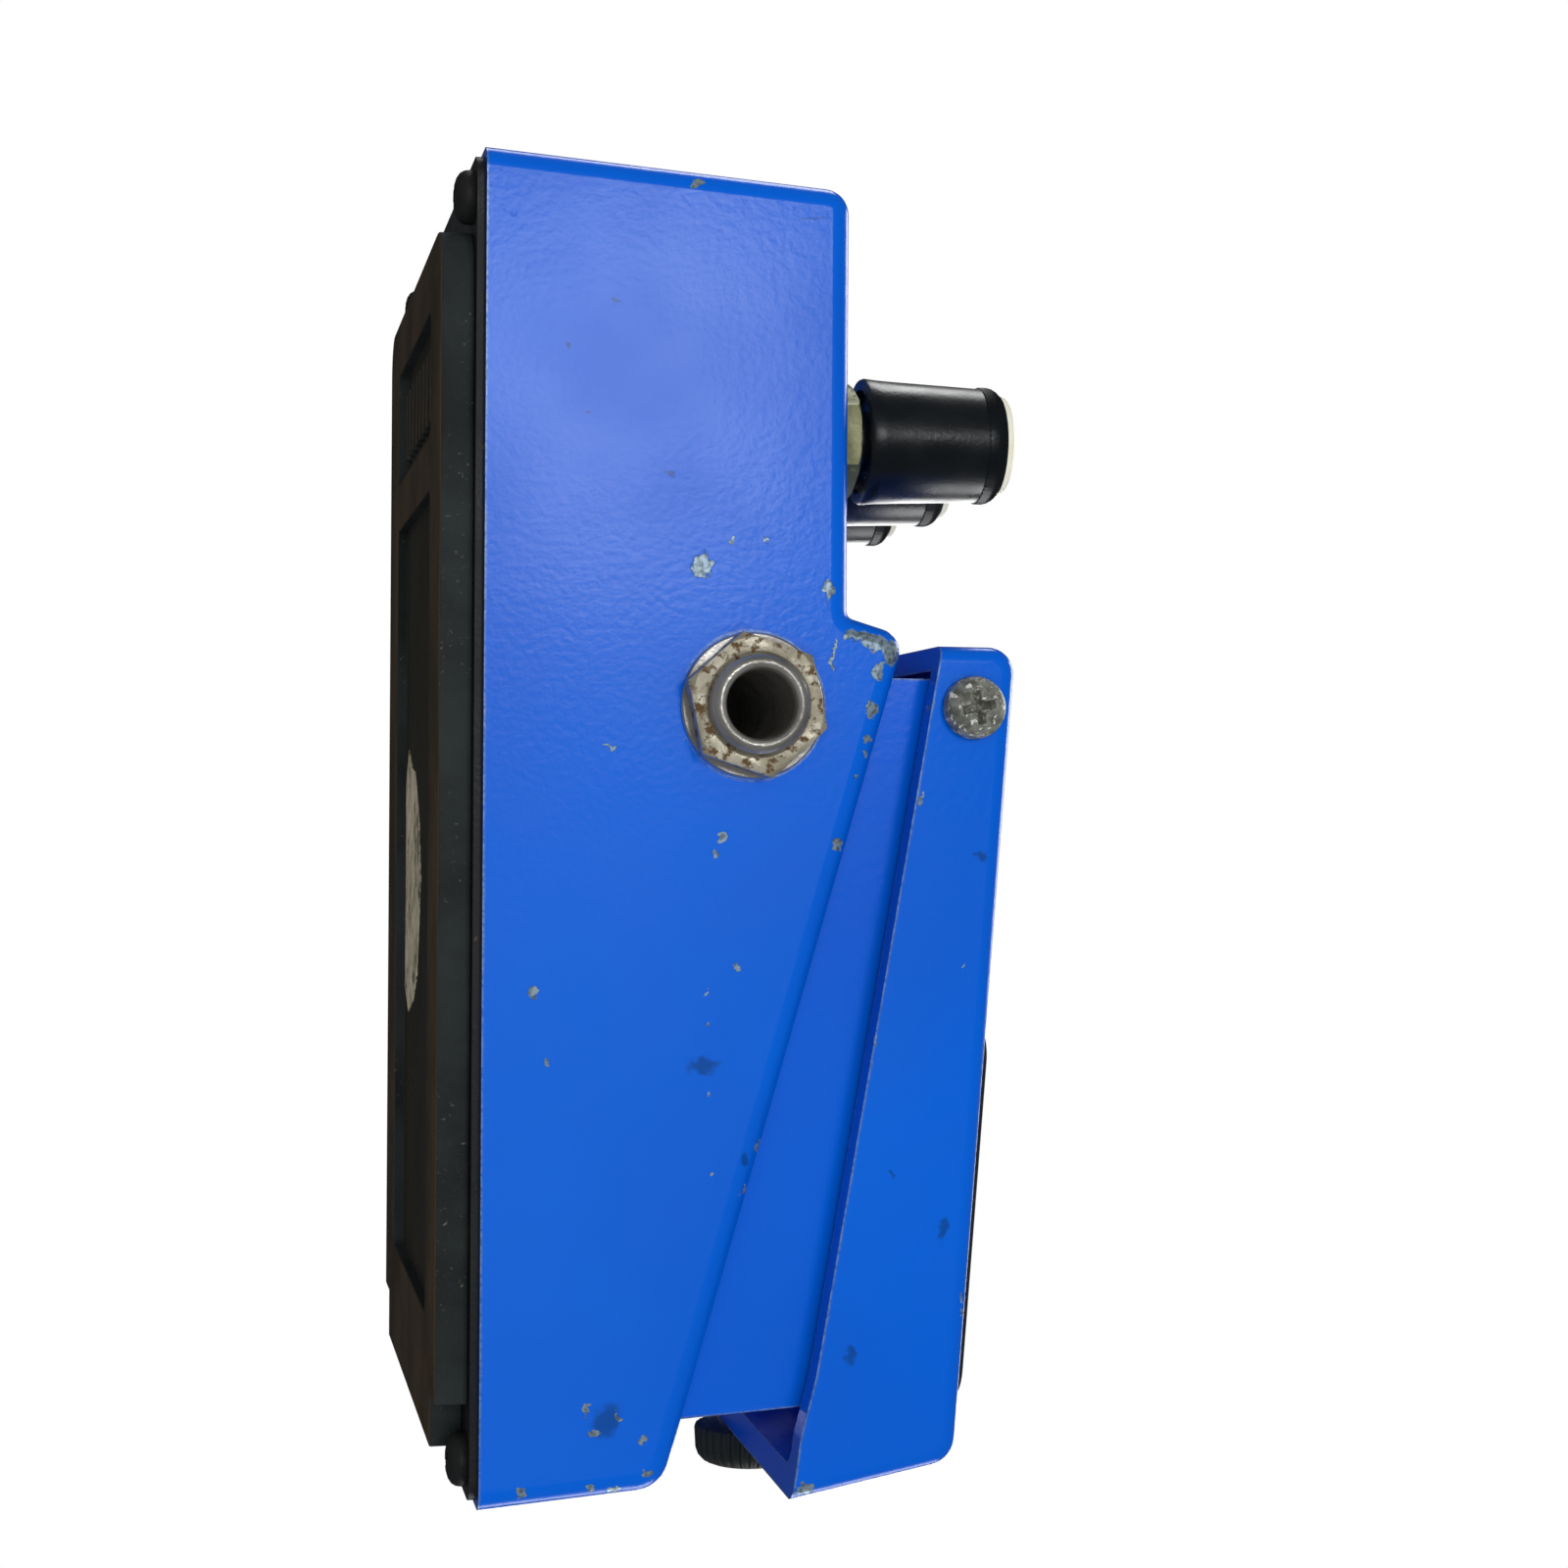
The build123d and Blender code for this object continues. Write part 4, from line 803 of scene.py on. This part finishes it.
def makePad():
    low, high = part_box("treadle_pad")
    slope = Vector((0, 0, 0))
    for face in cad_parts["treadle_pad"].data.polygons:
        if face.normal.z > 0.99:
            slope += face.normal * face.area
    slope.normalize()
    tilt = math.atan2(-slope.y, slope.z)
    centre = (low + high) / 2
    width = high.x - low.x
    length = (high.y - low.y - padLook["thick"] * math.sin(tilt)) / math.cos(tilt)
    plateTall = padLook["thick"] - padLook["ribTall"]
    mat = addBlock("treadlePad", (-width / 2, -length / 2, 0), (width / 2, length / 2, plateTall))
    # only the four upright edges are rounded
    weights = mat.data.attributes.new("bevel_weight_edge", "FLOAT", "EDGE")
    for edge in mat.data.edges:
        ends = [mat.data.vertices[i].co for i in edge.vertices]
        weights.data[edge.index].value = 1.0 if abs(ends[0].z - ends[1].z) > 0.5 * mm else 0.0
    addModifier(mat, "BEVEL", width=padLook["corner"], segments=8, limit_method="WEIGHT")
    editWhere(mat, False, facesUp)
    bpy.ops.mesh.inset(thickness=padLook["border"] / 2)
    bpy.ops.mesh.extrude_region_move(TRANSFORM_OT_translate={"value": (0, 0, -0.2 * mm)})
    bpy.ops.object.mode_set(mode="OBJECT")
    bevelEdges(mat, 0.45 * mm, 3, 50)
    room = length - 2 * padLook["border"]
    pitch = room / padLook["ribs"]
    ribEnd = width / 2 - padLook["border"]
    ribFoot = padLook["thick"] - 2 * padLook["ribTall"] - 0.1 * mm
    rib = addBlock("rib", (-ribEnd, -0.3 * pitch, ribFoot), (ribEnd, 0.3 * pitch, padLook["thick"]))
    scaleFaces(rib, facesUp, (0.99, 0.55, 1))
    bevelEdges(rib, 0.12 * mm, 2, 30)
    ribs = [copyOf(rib, "rib" + str(n), (0, (n + 0.5) * pitch - room / 2, 0)) for n in range(padLook["ribs"])]
    bpy.data.objects.remove(rib)
    mat = joinAll([mat] + ribs, "treadlePad")
    mat.rotation_euler = (tilt, 0, 0)
    lift = Vector((0, -math.sin(tilt), math.cos(tilt))) * padLook["thick"] / 2
    mat.location = Vector((0, centre.y, centre.z)) - lift
    placeInMesh(mat)
    bpy.ops.object.shade_smooth_by_angle(angle=math.radians(40))
    fitPiece(mat, "treadle", "black_rubber", padRubber, "treadle_pad")


makePad()
print("treadle fittings made")


# sole: softened edges, plain ribs in the small recess, and the torn remnant of a label

soleLook = {
    "edge": 0.45 * mm, "recess": 1.2 * mm, "paper": 0.12 * mm, "ribs": 9, "ribPitch": 4.4 * mm,
    "ribWide": 2 * mm, "ribTall": 0.6 * mm, "ribFront": 39.7 * mm, "ribRear": 47.3 * mm,
}
# the torn paper's outline: across and back, in mm
paperOutline = [(17, 8), (21, 4), (20.5, -6), (21, -18), (16, -20.5), (10, -19), (5, -16), (2.5, -10),
                (0.5, -6), (3, 0), (6, 3), (9, 5.5), (13, 6)]


def makeSole():
    sole = copyOfNode("rubber_sole", "rubberSole")
    bevelEdges(sole, soleLook["edge"], 3, 50)
    closeUp(sole, 50)
    fitPiece(sole, "body", "black_rubber", soleRubber, "rubber_sole")


def makeSoleRibs():
    ribs = []
    half = soleLook["ribWide"] / 2
    for n in range(soleLook["ribs"]):
        across = (n - (soleLook["ribs"] - 1) / 2) * soleLook["ribPitch"]
        low = (across - half, soleLook["ribFront"], soleLook["recess"] - soleLook["ribTall"])
        high = (across + half, soleLook["ribRear"], soleLook["recess"] + 0.05 * mm)
        rib = addBlock("soleRib", low, high)
        scaleFaces(rib, facesDown, (0.75, 0.94, 1), (across, (low[1] + high[1]) / 2, 0))
        bevelEdges(rib, 0.15 * mm, 2, 40)
        ribs.append(rib)
    ribs = joinAll(ribs, "soleRibs")
    bpy.ops.object.shade_smooth_by_angle(angle=math.radians(40))
    fitPiece(ribs, "body", "black_rubber", soleRubber)


def makePaperRemnant():
    # a paper circle pulled to the outline, torn by fractal subdivision, then given its thickness
    deselectAll()
    level = soleLook["recess"] - 0.01 * mm
    bpy.ops.mesh.primitive_circle_add(vertices=len(paperOutline), radius=10 * mm, fill_type="NGON")
    paper = bpy.context.object
    for point, (across, back) in zip(paper.data.vertices, paperOutline):
        point.co = (across * mm, back * mm, level)
    makeActive(paper)
    bpy.ops.object.mode_set(mode="EDIT")
    bpy.ops.mesh.select_all(action="SELECT")
    bpy.ops.mesh.subdivide(number_cuts=9, fractal=0.55, fractal_along_normal=0, seed=4)
    bpy.ops.transform.resize(value=(1, 1, 0), center_override=(0, 0, level))
    bpy.ops.mesh.extrude_region_move(TRANSFORM_OT_translate={"value": (0, 0, -soleLook["paper"])})
    bpy.ops.object.mode_set(mode="OBJECT")
    paper.name = "paperRemnant"
    placeInMesh(paper)
    closeUp(paper, 30)
    fitPiece(paper, "body", "clear_film", material["oldPaper"])


makeSole()
makeSoleRibs()
makePaperRemnant()


# return spring: a wire ring screwed up the coil's height

springLook = {"wire": 0.6 * mm, "turns": 8, "treadleTurn": math.radians(3), "slack": 0.15 * mm}


def makeSpring():
    low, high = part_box("return_spring")
    centre = (low + high) / 2
    wire = springLook["wire"]
    coil = (high.x - low.x) / 2 - wire
    rise = (high.z - low.z - 2 * wire) / springLook["turns"]
    deselectAll()
    bpy.ops.mesh.primitive_circle_add(vertices=12, radius=wire, fill_type="NOTHING", location=(coil, 0, 0),
                                      rotation=(math.pi / 2, 0, 0))
    spring = bpy.context.object
    spring.name = "returnSpring"
    placeInMesh(spring)
    addModifier(spring, "SCREW", axis="Z", angle=2 * math.pi, screw_offset=rise,
                iterations=springLook["turns"], steps=32, render_steps=32, use_merge_vertices=False)
    spring.location = (centre.x, centre.y, low.z + wire)
    placeInMesh(spring)
    closeUp(spring, 60)
    fitPiece(spring, "body", "zinc", material["brightSteel"], "return_spring")
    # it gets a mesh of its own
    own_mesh(spring)


makeSpring()


# indicator light with its bezel, power socket with its nut

def makeLight():
    low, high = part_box("light_bezel")
    centre = (low + high) / 2
    lightLow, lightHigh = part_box("indicator_light")
    outer, tall = (high.x - low.x) / 2, high.z - low.z
    neck, bore = 2.5 * mm, 1.5 * mm
    collar = tall - 1.0 * mm
    rim = [(bore, 0), (neck, 0), (neck, collar), (outer - 0.05 * mm, collar), (outer, collar + 0.15 * mm),
           (outer - 0.2 * mm, tall - 0.35 * mm), (outer - 0.7 * mm, tall - 0.05 * mm),
           (bore + 0.5 * mm, tall), (bore + 0.1 * mm, tall - 0.1 * mm), (bore, tall - 0.3 * mm)]
    bezel = turned("lightBezel", rim, 64, (centre.x, centre.y, low.z), (0, 0, 1), ring=True)
    fitPiece(bezel, "body", "black_plastic", material["blackPlastic"], "light_bezel")
    domeTall = lightHigh.z - low.z
    domeRadius = bore - 0.03 * mm
    turns = [math.radians(turn) for turn in range(0, 90, 10)]
    dome = [(domeRadius, 0)] + [
        (domeRadius * math.cos(turn), domeTall - bore + bore * math.sin(turn)) for turn in turns]
    lens = turned("indicatorLens", dome, 48, (centre.x, centre.y, low.z), (0, 0, 1))
    wire = [(0.25 * mm, 0), (0.25 * mm, low.z - lightLow.z)]
    legs = [turned("leg", wire, 12, (centre.x + offset, centre.y, lightLow.z), (0, 0, 1))
            for offset in (-0.8 * mm, 0.8 * mm)]
    fitPiece(lens, "body", "red_light", material["redLens"], "indicator_light")
    fitPiece(joinAll(legs, "indicatorLegs"), "body", "zinc", material["brightSteel"], "indicator_light")


def makePowerSocket():
    low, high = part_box("power_socket")
    nutLow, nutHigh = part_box("power_nut")
    centre = (nutLow + nutHigh) / 2
    bush, bore, deep = 5.6 * mm, 3.1 * mm, 11 * mm
    faceBack = nutLow.y - 3.4 * mm
    mouth = high.y
    block = addBlock("socket", (low.x, low.y, centre.z - 5.5 * mm), (high.x, faceBack, centre.z + 5.5 * mm))
    nose = [(bush, faceBack - 0.5 * mm), (bush, mouth - 0.3 * mm), (bush - 0.25 * mm, mouth)]
    cutWith(block, turned("nose", nose, 96, (centre.x, 0, centre.z), (0, 1, 0)), "UNION")
    drill = [(bore, mouth - deep), (bore, mouth - 0.5 * mm), (bore + 0.4 * mm, mouth + 0.1 * mm)]
    cutWith(block, turned("drill", drill, 96, (centre.x, 0, centre.z), (0, 1, 0)))
    bevelEdges(block, 0.2 * mm, 2, 40)
    block.name = "powerSocket"
    closeUp(block)
    fitPiece(block, "body", "black_plastic", material["dullPlastic"], "power_socket")
    radius, thick = (nutHigh.x - nutLow.x) / 2, nutHigh.y - nutLow.y
    rim = [(bush + 0.02 * mm, 0), (radius - 0.1 * mm, 0), (radius, 0.1 * mm), (radius, thick - 0.35 * mm),
           (radius - 0.35 * mm, thick), (bush + 0.2 * mm, thick), (bush + 0.02 * mm, thick - 0.2 * mm)]
    sides = 144
    ring = turned("powerNut", rim, sides, (centre.x, nutLow.y, centre.z), (0, 1, 0), ring=True)

    def inFlute(point):
        across, up = point.x - centre.x, point.z - centre.z
        turn = round(math.atan2(up, across) / (2 * math.pi / sides))
        return math.hypot(across, up) > radius - 0.2 * mm and turn % 4 < 2

    scalePoints(ring, inFlute, (0.965, 1, 0.965), (centre.x, 0, centre.z))
    closeUp(ring, 30)
    fitPiece(ring, "body", "black_plastic", material["dullPlastic"], "power_nut")


makeLight()
makePowerSocket()
print("light and power socket made")


# printed dial marks on the control panel

dialLook = {
    "marks": 11, "sweep": 300, "near": 8.1 * mm, "far": 9.5 * mm, "longer": 0.5 * mm, "wide": 0.36 * mm,
    "thick": 0.04 * mm,
}


def makeDials():
    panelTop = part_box("pot_washers")[0].z
    for side in ("left", "middle", "right"):
        spot = middleOf(side + "_knob")
        marks = []
        for n in range(dialLook["marks"]):
            turn = math.radians(-dialLook["sweep"] / 2 + n * dialLook["sweep"] / (dialLook["marks"] - 1))
            far = dialLook["far"] + (dialLook["longer"] if n % 5 == 0 else 0)
            half = dialLook["wide"] / 2
            mark = addBlock("mark", (-half, dialLook["near"], 0), (half, far, dialLook["thick"]))
            mark.rotation_euler = (0, 0, -turn)
            mark.location = (spot.x, spot.y, panelTop)
            placeInMesh(mark)
            marks.append(mark)
        fitPiece(joinAll(marks, side + "Dial"), "body", "ivory_plastic", material["whiteInk"])


makeDials()
print("panel printed")


# floor, lights and camera

studio = {"floor": 1.6, "floorDrop": 0.3 * mm, "sky": 0.32, "mirrored": 0.06}
middle = (0, 0, 0.02)
# place, what it points at, width and power of each
lamps = {
    "sideLamp": ((-0.958, 0.199, 0.226), (0, 0.03, 0.02), 0.21, 1.1),
    "fillLamp": ((-1.3, -0.05, -0.05), middle, 1.0, 10.5),
    "topLamp": ((0.6, 0.15, 1.0), middle, 0.6, 5.0),
    "rightLamp": ((1.1, -0.35, 0.4), middle, 0.7, 5.0),
    "frontLamp": ((0.3, -1.1, 0.4), middle, 0.6, 4.0),
    "rearLamp": ((0.5, 1.0, 0.35), middle, 0.5, 3.5),
}


def makeFloor():
    deselectAll()
    bpy.ops.mesh.primitive_plane_add(size=2 * studio["floor"], location=(0, 0, -studio["floorDrop"]))
    floor = bpy.context.object
    floor.name = "floor"
    placeInMesh(floor)
    paper, tree, shader, _ = newMaterial("floorPaper")
    shader.inputs["Base Color"].default_value = (0.86, 0.86, 0.86, 1)
    shader.inputs["Roughness"].default_value = 0.9
    back = addNode(tree, "ShaderNodeNewGeometry").outputs["Backfacing"]
    clear = addNode(tree, "ShaderNodeBsdfTransparent")
    mix = addNode(tree, "ShaderNodeMixShader", {0: back, 1: shader.outputs[0], 2: clear.outputs[0]})
    output = [node for node in tree.nodes if node.type == "OUTPUT_MATERIAL"][0]
    tree.links.new(mix.outputs[0], output.inputs[0])
    floor.data.materials.append(paper)
    floor.visible_diffuse = floor.visible_glossy = floor.visible_shadow = False


def addLamp(name, place, aim, size, power):
    lamp = bpy.data.lights.new(name, "AREA")
    lamp.shape, lamp.size, lamp.energy = "DISK", size, power
    holder = bpy.data.objects.new(name, lamp)
    bpy.context.scene.collection.objects.link(holder)
    holder.location = place
    holder.rotation_euler = (Vector(aim) - Vector(place)).to_track_quat("-Z", "Y").to_euler()


def makeWorld():
    world = bpy.data.worlds.new("studio")
    world.use_nodes = True
    bpy.context.scene.world = world
    tree = world.node_tree
    tree.nodes.clear()
    seen = addNode(tree, "ShaderNodeBackground", {"Color": (1, 1, 1, 1), "Strength": 1.0})
    lit = addNode(tree, "ShaderNodeBackground", {"Color": (0.97, 0.985, 1, 1), "Strength": studio["sky"]})
    dim = addNode(tree, "ShaderNodeBackground", {"Color": (0.9, 0.95, 1, 1), "Strength": studio["mirrored"]})
    ray = addNode(tree, "ShaderNodeLightPath")
    glossy, direct = ray.outputs["Is Glossy Ray"], ray.outputs["Is Camera Ray"]
    around = addNode(tree, "ShaderNodeMixShader", {0: glossy, 1: lit.outputs[0], 2: dim.outputs[0]})
    around = addNode(tree, "ShaderNodeMixShader", {0: direct, 1: around.outputs[0], 2: seen.outputs[0]})
    output = addNode(tree, "ShaderNodeOutputWorld")
    tree.links.new(around.outputs[0], output.inputs[0])


view = {
    "place": (-0.28016, 0.00196, -0.02131), "right": (-0.21308, 0.00585, 0.97702),
    "ahead": (0.97703, 0.00562, 0.21304), "lens": 61.75, "shift": (-0.0015, 0.0057),
}


def makeCamera():
    # the housing's side fills the frame, rolled a quarter turn
    right = Vector(view["right"]).normalized()
    down = Vector(view["ahead"]).cross(right).normalized()
    rolled = Matrix((right, -down, -right.cross(down))).transposed()
    lens = bpy.data.cameras.new("camera")
    lens.sensor_width, lens.lens = 36, view["lens"]
    lens.shift_x, lens.shift_y = view["shift"]
    lens.clip_start, lens.clip_end = 0.01, 20
    camera = bpy.data.objects.new("camera", lens)
    bpy.context.scene.collection.objects.link(camera)
    camera.matrix_world = Matrix.Translation(view["place"]) @ rolled.to_4x4()
    bpy.context.scene.camera = camera


makeFloor()
makeWorld()
for name, lamp in lamps.items():
    addLamp(name, *lamp)
bpy.data.objects["fillLamp"].visible_glossy = False  # it only lifts the shaded side
makeCamera()
bpy.context.scene.view_settings.view_transform = "Standard"
print("studio ready")
